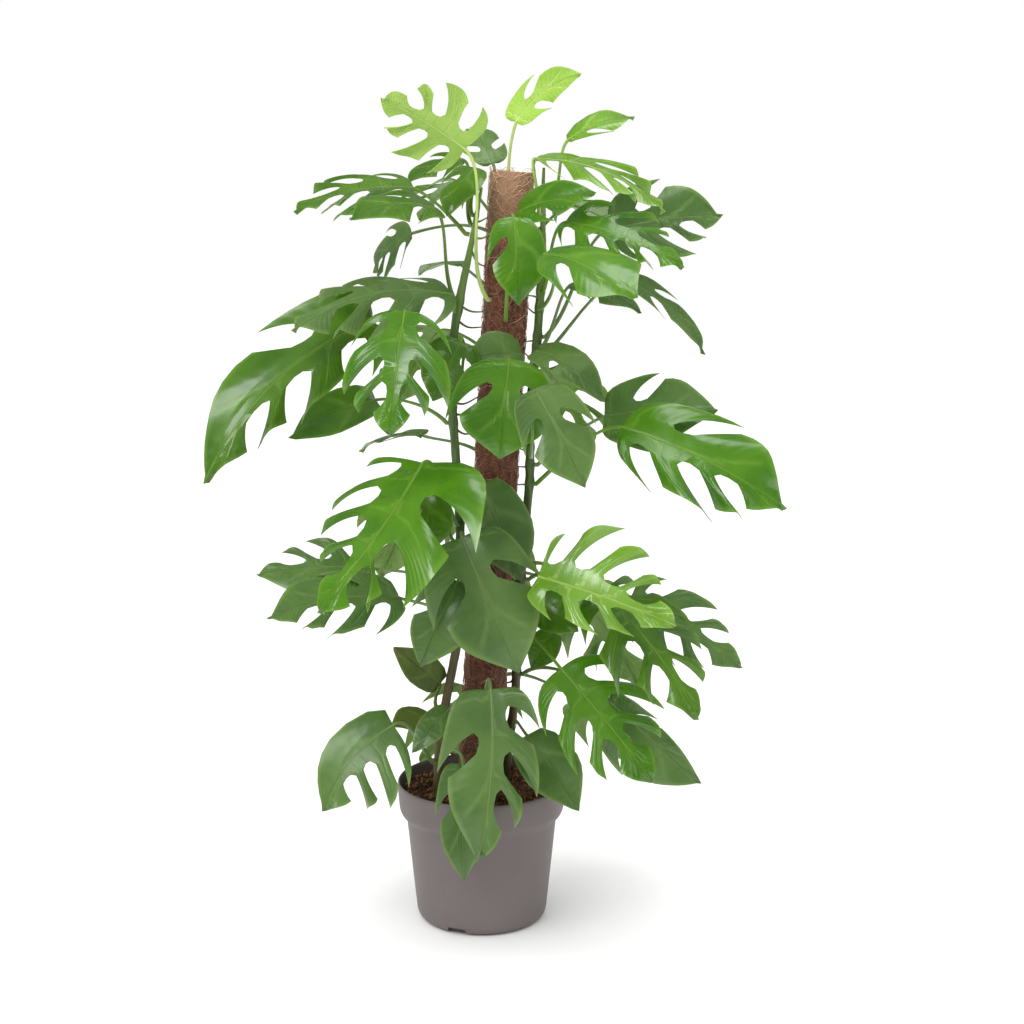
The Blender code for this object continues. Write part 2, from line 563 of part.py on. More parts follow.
def pot_solid():
    return turned(((0, 0), *POT_OUTSIDE, *POT_INSIDE, (0, POT_FLOOR)), POT_SIDES)


def soil_solid():
    """The root ball and soil, just clear of the pot, with a lumpy top."""
    inside = [(radius - GAP - .2, height) for radius, height in POT_INSIDE if height < SOIL_TOP]
    inside = [(radius, max(height, POT_FLOOR + GAP)) for radius, height in inside][::-1]
    inside[0] = (inside[0][0], POT_FLOOR + GAP)
    top = [(90.6, SOIL_TOP - 4), (88, SOIL_TOP - 1), (76, SOIL_TOP + 1), (60, SOIL_TOP + 2),
           (44, SOIL_TOP + 3), (28, SOIL_TOP + 4), (12, SOIL_TOP + 4)]
    chance = np.random.default_rng(7)

    def lump(rings):
        first = len(inside) + 1
        rings[first:, :, 2] += chance.uniform(-SOIL_LUMP, SOIL_LUMP, rings[first:, :, 2].shape)
        return rings

    return turned(((0, POT_FLOOR + GAP), *inside, *top, (0, SOIL_TOP + 4)), SOIL_SIDES, lump)


def pole_solid():
    """The coir sleeve: uneven outside, ragged at its top and bored from below for the stake."""
    foot, top = np.array(POLE_FOOT, float), np.array(POLE_TOP, float)
    length = np.linalg.norm(top - foot)
    bore = STAKE_RADIUS + GAP
    heights = np.linspace(0, length, POLE_RINGS)
    outside = [(POLE_RADIUS, height) for height in heights]
    crown = [(POLE_RADIUS - 3, length + 3), (POLE_RADIUS - 11, length - 2)]
    profile = ((0, POLE_BORE), (bore, POLE_BORE), (bore, 0), *outside, *crown, (0, length - 4))
    chance = np.random.default_rng(11)

    def lump(rings):
        skin = rings[2:2 + POLE_RINGS, :, :2]
        skin *= chance.uniform(.965, 1, skin.shape[:2])[..., None]
        rings[1 + POLE_RINGS:3 + POLE_RINGS, :, 2] += chance.uniform(-4, 5, (2, POLE_SIDES))
        return rings

    points, faces = turned(profile, POLE_SIDES, lump)
    return leaned(points), faces


def leaned(points):
    """Points set upright on the origin, moved to the pole's foot and leaned along it."""
    foot, top = np.array(POLE_FOOT, float), np.array(POLE_TOP, float)
    up = unit(top - foot)
    side = unit(np.cross((0, 1, 0), up))
    return foot + points @ np.array([side, np.cross(up, side), up])


def stake_solid():
    profile = ((0, STAKE_FOOT), (3, STAKE_FOOT), (STAKE_RADIUS, 6), (STAKE_RADIUS, STAKE_END - 2),
               (STAKE_RADIUS - 2, STAKE_END), (0, STAKE_END))
    points, faces = turned(profile, STAKE_SIDES)
    return leaned(points), faces


def clear_scene():
    for thing in list(bpy.data.objects):
        bpy.data.objects.remove(thing, do_unlink=True)


def material(look):
    """The look's material, made once. The colour is turned from a screen value to a linear one."""
    found = bpy.data.materials.get(look)
    if found:
        return found
    colour, roughness = LOOKS[look]
    share = np.array(colour) / 255
    linear = np.where(share <= .04045, share / 12.92, ((share + .055) / 1.055)**2.4)
    made = bpy.data.materials.new(look)
    made.use_nodes = True
    shader = made.node_tree.nodes["Principled BSDF"]
    shader.inputs["Base Color"].default_value = (*linear.tolist(), 1)
    shader.inputs["Roughness"].default_value = roughness
    shader.inputs["Metallic"].default_value = 0
    return made


def add_object(name, solid, look):
    points, faces = solid
    mesh = bpy.data.meshes.new(name)
    mesh.from_pydata((points * MM).tolist(), [], faces.tolist())
    mesh.materials.append(material(look))
    mesh.shade_smooth()
    mesh.set_sharp_from_angle(angle=np.radians(40))
    made = bpy.data.objects.new(name, mesh)
    bpy.context.collection.objects.link(made)
    return made


def combine(target, helpers, operation, solver="EXACT"):
    """Joins helpers to an object, or cuts them from it, and removes them."""
    for helper in helpers:
        step = target.modifiers.new(helper.name, "BOOLEAN")
        step.operation = operation
        step.solver = solver
        step.object = helper
    bpy.context.view_layer.update()
    graph = bpy.context.evaluated_depsgraph_get()
    mesh = bpy.data.meshes.new_from_object(target.evaluated_get(graph))
    target.modifiers.clear()
    target.data = mesh
    for helper in helpers:
        bpy.data.objects.remove(helper, do_unlink=True)
    return target


def add_pot():
    pot = add_object("pot", pot_solid(), "pot")
    cutters = []
    for angle in NOTCH_ANGLES:
        cutter = add_object("notch", box_solid(angle), "pot")
        cutters.append(cutter)
    combine(pot, cutters, "DIFFERENCE")


def box_solid(angle):
    """A block across the foot of the pot, for a drain notch."""
    turn = np.radians(angle)
    out = np.array((np.cos(turn), np.sin(turn), 0))
    side = np.array((-np.sin(turn), np.cos(turn), 0))
    path = [out * (74 - NOTCH_DEPTH) + (0, 0, 0), out * 84]
    half = NOTCH_WIDTH / 2
    corners = []
    for point in path:
        for across, height in ((-half, -5), (half, -5), (half * .7, NOTCH_HEIGHT), (-half * .7, NOTCH_HEIGHT)):
            corners.append(point + side * across + np.array((0, 0, height)))
    faces = np.array([(0, 3, 2), (0, 2, 1), (4, 5, 6), (4, 6, 7), (0, 1, 5), (0, 5, 4), (1, 2, 6),
                      (1, 6, 5), (2, 3, 7), (2, 7, 6), (3, 0, 4), (3, 4, 7)])
    return np.array(corners), faces


def clear_radius(radius, sides):
    """The corner radius of a hole with flat sides that stays clear of a round rod."""
    return (radius + GAP) / np.cos(np.pi / sides)


def add_soil():
    """The soil, with a plain hole for the pole and for each stem."""
    soil = add_object("soil", soil_solid(), "soil")
    cutters = []
    foot, top = np.array(POLE_FOOT, float), np.array(POLE_TOP, float)
    lean = unit(top - foot)
    pole = tube([foot - lean * (GAP - STAKE_FOOT), foot + lean * 180],
                clear_radius(POLE_RADIUS, POLE_SIDES), POLE_SIDES)
    cutters.append(add_object("hole_pole", pole, "soil"))
    for name in STEMS:
        axis = stem_axis(name)
        axis = np.vstack([axis[0] - (0, 0, GAP), axis[axis[:, 2] < 185]])
        hole = tube(axis, clear_radius(STEM_RADIUS + STEM_NODE, STEM_SIDES), STEM_SIDES)
        cutters.append(add_object("hole_" + name, hole, "soil"))
    combine(soil, cutters, "DIFFERENCE")


def add_leaf(row, seed):
    blade = Blade(row, seed)
    made = add_object(row["name"], thickened(*blade.surface()), row["look"])
    stalk = add_object("stalk", stalk_solid(row, blade), row["look"])
    return combine(made, [stalk], "UNION", "MANIFOLD")


def add_plant():
    """The stems and leaves. The leaves behind the pole are grown together with their stem."""
    behind = []
    for seed, row in enumerate(LEAVES):
        made = add_leaf(row, seed)
        if row["name"].startswith("leaf_back"):
            behind.append(made)
    for name in STEMS:
        stem = add_object("stem_" + name, stem_solid(name), "stem")
        if name == "back":
            combine(stem, behind, "UNION", "MANIFOLD")


def main():
    clear_scene()
    add_pot()
    add_soil()
    add_object("coir_pole", pole_solid(), "coir")
    add_object("pole_stake", stake_solid(), "stake")
    add_plant()


if __name__ == "__main__":
    main()
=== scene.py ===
# %% [markdown]
# # A climbing house plant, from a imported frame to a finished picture
# The frame is a plain solid model: right in size and place, but coarse. This script keeps every
# solid where it is and lays a finer surface over it: leaves with veins, ringed stems, loose coir
# fibres and a smooth moulded pot. Nearly every new surface is a formula worked out for whole arrays.

import bpy
import numpy as np
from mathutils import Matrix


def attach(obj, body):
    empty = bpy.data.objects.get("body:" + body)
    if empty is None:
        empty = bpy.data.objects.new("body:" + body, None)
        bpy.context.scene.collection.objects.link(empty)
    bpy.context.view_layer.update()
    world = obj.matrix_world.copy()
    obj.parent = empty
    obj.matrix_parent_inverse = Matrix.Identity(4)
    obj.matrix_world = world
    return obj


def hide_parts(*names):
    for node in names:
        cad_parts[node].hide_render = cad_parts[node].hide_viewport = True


MM = 0.001
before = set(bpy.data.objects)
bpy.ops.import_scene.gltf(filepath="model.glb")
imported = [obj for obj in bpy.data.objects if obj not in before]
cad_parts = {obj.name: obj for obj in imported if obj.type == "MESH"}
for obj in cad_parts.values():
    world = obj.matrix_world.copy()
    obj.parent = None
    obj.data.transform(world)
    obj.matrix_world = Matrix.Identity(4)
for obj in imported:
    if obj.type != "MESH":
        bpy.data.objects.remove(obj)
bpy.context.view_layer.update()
print("frame nodes:", len(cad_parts))

# %% [markdown]
# ## Sizes
# Nearly all of the frame's driving sizes are repeated here in millimetres, so that a finer surface
# follows the same curves. A leaf is one row: where its stalk leaves a stem, where its blade starts
# and ends, which way its upper face looks, and how it is folded, curled and cut.

# %% Sizes of the plant
POT_SIDES = 160
POT_OUTSIDE = (
    (62, 0), (68.5, 1.5), (73, 6), (74, 12), (84.6, 116), (84.3, 118.4), (85.6, 119.4),
    (90, 122), (92.8, 128), (94.2, 145), (95, 158), (93.4, 162),
)
POT_INSIDE = (
    (91.9, 159), (91.2, 143), (90, 129), (87.4, 124.4), (84, 121.6), (82, 117), (71.9, 14),
    (69, 6), (62, 3),
)
POT_FLOOR = 3.0
NOTCH_ANGLES = (247, 67)
NOTCH_WIDTH = 28
NOTCH_HEIGHT = 8.5
NOTCH_DEPTH = 12
NOTCH_BELOW = 5
NOTCH_TAPER = .7
FOOT_RADIUS = 74
PAST_FOOT = 84

SOIL_TOP = 150
CHIPS = 900
CHIP_SIZE = (5.0, 3.0, 1.5)
CHIP_REACH = 87

POLE_FOOT = (-10, 5, 12)
POLE_TOP = (35, 5, 836)
POLE_RADIUS = 25
FIBRES = 3200
FIBRE_POINTS = 8
FIBRE_THICKNESS = (.16, .42)
SLEEVE_SIDES = 72
SLEEVE_RINGS = 260

STEM_RADIUS = 5.4
STEM_SIDES = 18
STEM_RINGS = 260
AXIS_RINGS = 30
ROOT_POINTS = 9
ROOT_SIDES = 7
STEMS = {
    "left": (
        (-46, -30, 20), (-48, -28, 185), (-40, -30, 255), (-33, -31, 290), (-25, -33, 335),
        (-20, -34, 370), (-22, -32, 440), (-26, -28, 525), (-30, -24, 585), (-30, -21, 650),
        (-22, -20, 700), (-8, -24, 765), (2, -24, 820),
    ),
    "right": (
        (26, 24, 20), (28, 22, 160), (38, 17, 250), (42, 12, 320), (46, 6, 410), (50, 2, 460),
        (54, 0, 500), (54, 0, 570), (61, 4, 645), (65, 4, 700), (68, 8, 755), (68, 12, 806),
        (69, 16, 840),
    ),
    "back": (
        (0, 42, 20), (4, 42, 200), (8, 43, 400), (16, 44, 550), (26, 43, 700), (36, 42, 800),
    ),
}

STALK_POINTS = 26
STALK_SIDES = 10
STALK_LEAD = 3.0
STALK_SUNK = 1.3
STALK_RADII = (2.6, 2.2, 1.7, 1.7, 2.0)

BLADE_THICKNESS = 0.55
VEIN = (0, .05, .14, .27, .42, .58, .74, .88, 1)
VEIN_ROOT = (0, .01, .04, .13, .26, .42, .60, .79, 1)
VEIN_END = (0, -.06, -.04, .17, .42, .64, .81, .925, 1)
VEIN_OUT = (0, .17, .34, .455, .47, .365, .215, .09, 0)
VEIN_OUT_WIDTH = .94
CUTS = {1: (), 2: (.42,), 3: (.27, .53), 4: (.20, .40, .60)}
CUT_SPREAD = .02
CUT_GAP = .056
CUT_ROOT = .235
END_CUT = .42
LOBE_HOOK = .05
LOBE_CROWN = .05
LOBE_TWIST = .04
MARGIN_WAVE = .014
QUILT = .010
MIDRIB_GROOVE = .006
SIDE_VEIN = .45
LOBE_COLUMNS = 10
LOBE_ROWS = 13
MIDRIB_PARTS = 30
CURVE_STEPS = 41
RIB_POINTS = 16
LOBE_DRAWS = 20
HALF_STEP = 9

LEAF_SEED = 1000
TINT_SEED = 500
CHIP_SEED = 21
COIR_SEED = 31
STEM_SEED = 41


def leaf(name, look, stem, height, knuckle, tip, faces, width, arch, fold, curl, lobes,
         sweep=.35, swing=0.0, via=None, cuts=None):
    """One leaf's row, as a dictionary."""
    return dict(name=name, look="leaf_" + look, stem=stem, height=height, knuckle=knuckle, tip=tip,
                faces=faces, width=width, arch=arch, fold=fold, curl=curl, lobes=lobes,
                sweep=sweep, swing=swing, via=via, cuts=cuts)


LEAVES = (
    leaf("leaf_left_01", "young", "pole", 700, (-15, -45, 860), (-100, -85, 910), (.2, .9, .6),
         1, .04, .35, (-.2, 1.6), (3, 3), sweep=.1),
    leaf("leaf_left_02", "mid", "left", 780, (-20, 20, 850), (-80, 10, 825), (-.1, -.5, 1),
         .7, .08, .2, 1.2, (2, 2)),
    leaf("leaf_left_03", "mid", "left", 790, (-5, -10, 840), (-35, -45, 790), (-.3, -.6, .7),
         .7, .1, .2, 1, (1, 2)),
    leaf("leaf_left_04", "mid", "left", 770, (-70, -25, 820), (-195, -40, 795), (0, -.4, 1),
         .85, .08, .25, 1.2, (3, 3), sweep=.6),
    leaf("leaf_left_05", "mid", "left", 700, (-45, -85, 800), (-130, -140, 790), (0, -.5, 1),
         .75, .1, .2, 1.5, (2, 2)),
    leaf("leaf_left_06", "matte", "back", 760, (-75, 50, 770), (-120, 90, 725), (-.4, -.6, .6),
         1, .1, .2, 1, (3, 2), sweep=.6),
    leaf("leaf_left_07", "matte", "back", 700, (-20, 60, 735), (-70, 110, 720), (0, 0, 1),
         .6, .1, .2, 1, (2, 2)),
    leaf("leaf_left_08", "matte", "left", 690, (-30, -50, 710), (-195, -90, 675), (0, -.4, 1),
         .8, .12, .12, 1.35, (3, 3), sweep=.5),
    leaf("leaf_left_09", "bright", "left", 655, (-75, -155, 700), (-90, -200, 580), (-.1, -1, .5),
         .9, .06, .2, .8, (3, 3), sweep=.6, via=((-90, -35, 650), (-90, -135, 655))),
    leaf("leaf_left_10", "mid", "left", 600, (-115, -20, 680), (-290, -90, 515), (-.2, -1, .6),
         .45, .06, .2, .8, (3, 2), sweep=.3, swing=.16),
    leaf("leaf_left_11", "mid", "left", 590, (-20, -50, 660), (-50, -80, 600), (-.1, -1, .3),
         .9, .06, .2, .8, (2, 2)),
    leaf("leaf_left_12", "mid", "left", 570, (-115, 20, 590), (-210, 0, 550), (0, -.7, .8),
         .55, .05, .2, .7, (1, 1)),
    leaf("leaf_left_13", "matte", "back", 520, (-65, 60, 545), (-140, 100, 520), (0, -.1, 1),
         .6, .08, .2, 1, (2, 2)),
    leaf("leaf_left_14", "bright", "left", 460, (-60, -110, 540), (-165, -190, 400), (-.5, -1, .6),
         .95, .08, .15, (.5, 1.8), (3, 4), sweep=.15, swing=-.16,
         cuts=((.38, .66), (.19, .4, .6))),
    leaf("leaf_left_15", "mid", "left", 440, (-55, -60, 500), (-55, -75, 435), (-.2, -1, .1),
         .8, .06, .2, .8, (1, 2)),
    leaf("leaf_left_16", "matte", "left", 330, (-25, -70, 405), (-65, -90, 315), (-.2, -1, .3),
         .7, .06, .2, .8, (1, 2)),
    leaf("leaf_left_17", "matte", "left", 380, (-120, 20, 400), (-250, 10, 395), (0, -.8, .7),
         .6, .08, .2, 1, (2, 3)),
    leaf("leaf_left_18", "matte", "left", 350, (-90, -15, 375), (-230, -70, 365), (0, -.5, .9),
         .7, .08, .2, (1.6, 1), (3, 2), sweep=.5),
    leaf("leaf_left_19", "olive", "left", 250, (-45, -30, 280), (-95, -60, 330), (-.2, -.9, .5),
         .5, .03, .2, .6, (1, 1)),
    leaf("leaf_left_20", "matte", "left", 225, (-35, -60, 260), (-75, -90, 220), (-.3, -1, .4),
         .5, .06, .2, .8, (1, 1)),
    leaf("leaf_left_21", "matte", "left", 190, (-95, -85, 250), (-170, -120, 165), (-.2, -1, .5),
         (1.15, .55), .05, .15, (.5, 1.2), (3, 1), sweep=.3, swing=.16),
    leaf("leaf_left_22", "olive", "left", 210, (-55, -10, 235), (-100, -40, 235), (-.3, -.6, .8),
         .8, .06, .2, .8, (1, 1)),
    leaf("leaf_left_23", "matte", "left", 200, (-20, -100, 210), (-20, -135, 90), (-.1, -1, .1),
         .47, .05, .2, .7, (1, 2), sweep=.5),
    leaf("leaf_front_01", "bright", "pole", 680, (35, -60, 790), (40, -90, 700), (.1, -1, .3),
         .65, .08, .2, .8, (1, 2), sweep=.6),
    leaf("leaf_front_02", "matte", "pole", 610, (45, -40, 645), (-15, -50, 640), (0, -.8, .6),
         .9, .1, .2, .8, (1, 1)),
    leaf("leaf_front_03", "bright", "pole", 560, (30, -90, 645), (20, -125, 545), (0, -1, .5),
         1.05, .08, .2, .8, (2, 2), sweep=.5, via=((20, -65, 575), (30, -105, 605))),
    leaf("leaf_front_04", "matte", "pole", 460, (0, -40, 505), (45, -55, 400), (.3, -1, .1),
         .6, .06, .2, .8, (1, 1)),
    leaf("leaf_front_05", "matte", "pole", 400, (-20, -80, 455), (40, -115, 315), (-.1, -1, .2),
         .8, .06, .2, (1.8, .5), (2, 2), sweep=.35),
    leaf("leaf_front_06", "matte", "pole", 260, (10, -105, 295), (-5, -155, 120), (0, -1, .25),
         .61, .05, .2, .7, (3, 2), sweep=.45, swing=-.08),
    leaf("leaf_right_01", "young", "back", 800, (40, 60, 890), (110, 40, 940), (-.3, -.8, .5),
         .55, -.04, .2, .3, (2, 2), swing=-.3),
    leaf("leaf_right_02", "light", "right", 800, (95, 35, 870), (170, 60, 895), (-.1, -.6, 1),
         .5, .08, .2, 1, (1, 2), sweep=.9),
    leaf("leaf_right_03", "light", "right", 790, (60, 5, 850), (195, -40, 795), (.2, -.3, 1),
         .62, .1, .2, 1.2, (3, 3), sweep=.8, via=((66, -32, 800), (50, -28, 856))),
    leaf("leaf_right_04", "matte", "back", 780, (15, 65, 845), (-10, 120, 885), (-.2, -.2, 1),
         .7, .08, .2, 1, (2, 2)),
    leaf("leaf_right_05", "bright", "right", 740, (40, -40, 795), (120, -75, 815), (0, -1, .6),
         .5, .08, .2, (1.5, .6), (1, 2), sweep=.5),
    leaf("leaf_right_06", "bright", "right", 710, (90, -50, 785), (210, -95, 740), (.1, -.8, .9),
         .7, .08, .2, 1, (3, 4), sweep=.5),
    leaf("leaf_right_07", "matte", "right", 660, (140, 10, 775), (265, 30, 790), (0, -1, .5),
         .75, .06, .2, .6, (2, 3), sweep=.5),
    leaf("leaf_right_08", "bright", "right", 690, (65, -115, 755), (155, -185, 715), (.2, -.8, .9),
         .8, .08, .2, (1.4, .8), (1, 2), sweep=.8, via=((75, -45, 700), (85, -100, 735))),
    leaf("leaf_right_09", "matte", "right", 640, (160, 0, 720), (245, 0, 640), (.4, -.5, .8),
         .4, .1, .3, 1, (2, 2), sweep=.6),
    leaf("leaf_right_10", "matte", "right", 650, (100, -30, 720), (170, -60, 690), (.2, -.6, .9),
         .5, .08, .2, 1, (2, 2)),
    leaf("leaf_right_11", "matte", "right", 600, (60, -50, 650), (130, -90, 600), (0, -.6, .8),
         .5, .14, .2, 1, (1, 2)),
    leaf("leaf_right_12", "matte", "right", 540, (55, -140, 620), (105, -180, 525), (.1, -1, .4),
         .7, .06, .2, .8, (2, 2), sweep=.5, via=((54, -90, 530), (50, -180, 555))),
    leaf("leaf_right_13", "matte", "right", 520, (135, -10, 575), (255, -40, 585), (0, -.9, .8),
         .75, .05, .2, (-.2, 1.2), (2, 2)),
    leaf("leaf_right_14", "bright", "right", 500, (150, -60, 570), (320, -110, 490), (.1, -.9, .7),
         .65, .08, .2, .8, (2, 3), sweep=.8),
    leaf("leaf_right_15", "light", "right", 410, (60, -115, 420), (200, -170, 380), (0, -1, .6),
         (.95, .55), .06, .15, (-.2, 1.4), (4, 3), sweep=.3, via=((75, -35, 420), (80, -100, 425))),
    leaf("leaf_right_16", "mid", "right", 370, (130, -95, 400), (225, -170, 280), (.3, -.8, .8),
         .7, .06, .2, (.6, 2), (4, 3)),
    leaf("leaf_right_17", "mid", "right", 350, (55, -50, 380), (105, -75, 350), (0, -1, .5),
         .7, .06, .2, .8, (1, 1)),
    leaf("leaf_right_18", "matte", "right", 390, (165, -20, 375), (285, -60, 305), (.1, -.9, .5),
         .62, .06, .15, .7, (3, 3)),
    leaf("leaf_right_19", "mid", "right", 320, (80, -15, 335), (55, -30, 295), (0, -1, .3),
         .7, .06, .2, .8, (1, 1)),
    leaf("leaf_right_20", "bright", "pole", 340, (85, -95, 315), (180, -150, 205), (0, -1, .6),
         .8, .06, .15, .7, (3, 3), sweep=.5),
    leaf("leaf_right_21", "matte", "right", 280, (140, -50, 265), (240, -80, 180), (-.2, -1, .3),
         (.3, .75), .06, .2, .8, (2, 2)),
    leaf("leaf_right_22", "matte", "right", 220, (50, -60, 230), (105, -110, 160), (.3, -1, .3),
         .62, .06, .2, .7, (1, 1)),
    leaf("leaf_back_01", "mid", "back", 770, (-20, 90, 825), (-70, 160, 780), (-.2, .6, 1),
         .75, .08, .2, 1, (3, 3)),
    leaf("leaf_back_02", "mid", "back", 740, (100, 80, 800), (185, 150, 745), (.3, .6, 1),
         .75, .08, .2, 1, (3, 3)),
    leaf("leaf_back_03", "mid", "back", 630, (-45, 90, 660), (-100, 150, 565), (-.3, 1, .6),
         .8, .08, .2, 1, (3, 3)),
    leaf("leaf_back_04", "mid", "back", 580, (75, 90, 615), (130, 150, 515), (.3, 1, .6),
         .8, .08, .2, 1, (3, 3)),
    leaf("leaf_back_05", "matte", "back", 480, (-45, 90, 490), (-120, 140, 360), (-.3, 1, .5),
         .8, .08, .2, 1, (3, 3)),
    leaf("leaf_back_06", "matte", "back", 420, (20, 90, 415), (-15, 150, 270), (-.1, 1, .5),
         .75, .08, .2, 1, (3, 3)),
    leaf("leaf_back_07", "matte", "back", 380, (105, 80, 360), (190, 140, 225), (.3, 1, .5),
         .8, .08, .2, 1, (3, 3)),
    leaf("leaf_back_08", "matte", "back", 290, (-5, 90, 240), (-40, 150, 80), (-.1, 1, .4),
         .8, .08, .2, 1, (3, 3)),
    leaf("leaf_back_09", "matte", "back", 260, (115, 80, 230), (215, 110, 125), (.2, 1, .4),
         .6, .08, .2, 1, (2, 2)),
)
print("leaves:", len(LEAVES))

# %% [markdown]
# ## Curves and skins
# Everything on a plant is either a rod with a changing thickness or a thin bent sheet. A rod is a
# profile carried along a path, and a sheet is a grid of two parameters. These helpers turn both
# into points and triangles for whole arrays at once.

# %% Curve and skin helpers
def unit(vectors):
    """Each vector divided by its own length."""
    vectors = np.asarray(vectors, float)
    return vectors / np.maximum(np.linalg.norm(vectors, axis=-1, keepdims=True), 1e-12)


def smooth_curve(knots, values, at):
    """A cubic in each span between knots, whose slope at a knot is the mean of those beside it."""
    knots, values, at = (np.asarray(given, float) for given in (knots, values, at))
    slope = np.gradient(values, knots)
    span = np.clip(np.searchsorted(knots, at, side="right") - 1, 0, len(knots) - 2)
    step = knots[span + 1] - knots[span]
    t = (at - knots[span]) / step
    return ((2 * t**3 - 3 * t**2 + 1) * values[span] + (t**3 - 2 * t**2 + t) * step * slope[span]
            + (3 * t**2 - 2 * t**3) * values[span + 1] + (t**3 - t**2) * step * slope[span + 1])


def smooth_path(points, count):
    """Points at equal steps along a smooth path through the given ones."""
    points = np.array(points, float)
    run = np.concatenate([[0], np.cumsum(np.linalg.norm(np.diff(points, axis=0), axis=1))])
    at = np.linspace(0, run[-1], count)
    return np.stack([smooth_curve(run, points[:, axis], at) for axis in range(3)], axis=-1)


def bezier(corners, count):
    """The cubic curve that starts and ends at the outer corners and leans on the inner two."""
    t = np.linspace(0, 1, count)[:, None]
    a, b, c, d = (np.array(corner, float) for corner in corners)
    return (1 - t)**3 * a + 3 * t * (1 - t)**2 * b + 3 * t * t * (1 - t) * c + t**3 * d


def ring_faces(rings, sides):
    """Triangles over rings of points, closed at both ends by a centre point."""
    here = np.arange(sides)
    after = (here + 1) % sides
    low = np.arange(rings - 1)[:, None] * sides
    high = low + sides
    first = np.stack([low + here, low + after, high + after], -1).reshape(-1, 3)
    second = np.stack([low + here, high + after, high + here], -1).reshape(-1, 3)
    top = (rings - 1) * sides
    foot = np.stack([np.full(sides, rings * sides), after, here], -1)
    head = np.stack([np.full(sides, rings * sides + 1), top + here, top + after], -1)
    return np.concatenate([first, second, foot, head])


def path_frame(path):
    """The direction along a path and two directions square to it that don't twist."""
    along = unit(np.gradient(path, axis=0))
    across = [unit(np.cross(along[0], (.3, 1, .2)))]
    for direction in along[1:]:
        across.append(unit(across[-1] - (across[-1] @ direction) * direction))
    across = np.array(across)
    return along, across, np.cross(along, across)


def tube(path, radii, sides, relief=0.0):
    """A circle carried along a path: centre + radius (cos a across + sin a third), with the radius
    read along the path and changed by the relief, one value for each ring and side."""
    path = np.array(path, float)
    _, across, third = path_frame(path)
    turn = np.arange(sides) / sides * 2 * np.pi
    radii = np.broadcast_to(np.array(radii, float), len(path))[:, None] + relief
    radii = np.broadcast_to(radii, (len(path), sides))[..., None]
    rings = path[:, None] + radii * (np.cos(turn)[None, :, None] * across[:, None]
                                     + np.sin(turn)[None, :, None] * third[:, None])
    return np.vstack([rings.reshape(-1, 3), path[0], path[-1]]), ring_faces(len(path), sides)


def turned(profile, sides):
    """A profile of radius r and height h turned round Z: (r cos a, r sin a, h)."""
    profile = np.array(profile, float)
    turn = np.arange(sides) / sides * 2 * np.pi
    radius, height = profile[1:-1, 0, None], profile[1:-1, 1, None]
    rings = np.stack([radius * np.cos(turn), radius * np.sin(turn), height + 0 * turn], axis=-1)
    ends = [(0, 0, profile[0, 1]), (0, 0, profile[-1, 1])]
    return np.vstack([rings.reshape(-1, 3), ends]), ring_faces(len(profile) - 2, sides)


def joined(*parts):
    """Several (points, faces) pairs as one, with the faces renumbered."""
    points, faces, count = [], [], 0
    for part_points, part_faces in parts:
        points.append(part_points)
        faces.append(part_faces + count)
        count += len(part_points)
    return np.concatenate(points), np.concatenate(faces)


def add_piece(name, points, faces, looks, nodes=(), kinds=None, marks=None, sharp=50):
    """A new mesh object made of millimetre points, riding on the frame in place of CAD nodes."""
    mesh = bpy.data.meshes.new(name)
    mesh.from_pydata((points * MM).tolist(), [], faces.tolist())
    for look in looks:
        mesh.materials.append(look)
    if kinds is not None:
        mesh.polygons.foreach_set("material_index", kinds.astype(np.int32))
    for mark, values in (marks or {}).items():
        layer = mesh.attributes.new(mark, "FLOAT_VECTOR", "POINT")
        layer.data.foreach_set("vector", values.astype(np.float32).ravel())
    mesh.shade_smooth()
    mesh.set_sharp_from_angle(angle=np.radians(sharp))
    piece = bpy.data.objects.new(name, mesh)
    bpy.context.collection.objects.link(piece)
    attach(piece, "root")
    if nodes:
        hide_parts(*nodes)
    return piece


print("helpers ready")

# %% [markdown]
# ## Finishes
# A finish is a small graph of nodes round one Principled shader. The class below only shortens the
# writing: it makes a node, links what is a socket and sets what is a number. Colours are written as
# they look on a screen and turned into linear light.

# %% Finish helper
def linear(colour):
    """Screen values of 255 as linear ones: c/12.92 near black, else ((c + .055)/1.055)^2.4."""
    share = np.array(colour) / 255
    light = np.where(share <= .04045, share / 12.92, ((share + .055) / 1.055)**2.4)
    return (*light.tolist(), 1)


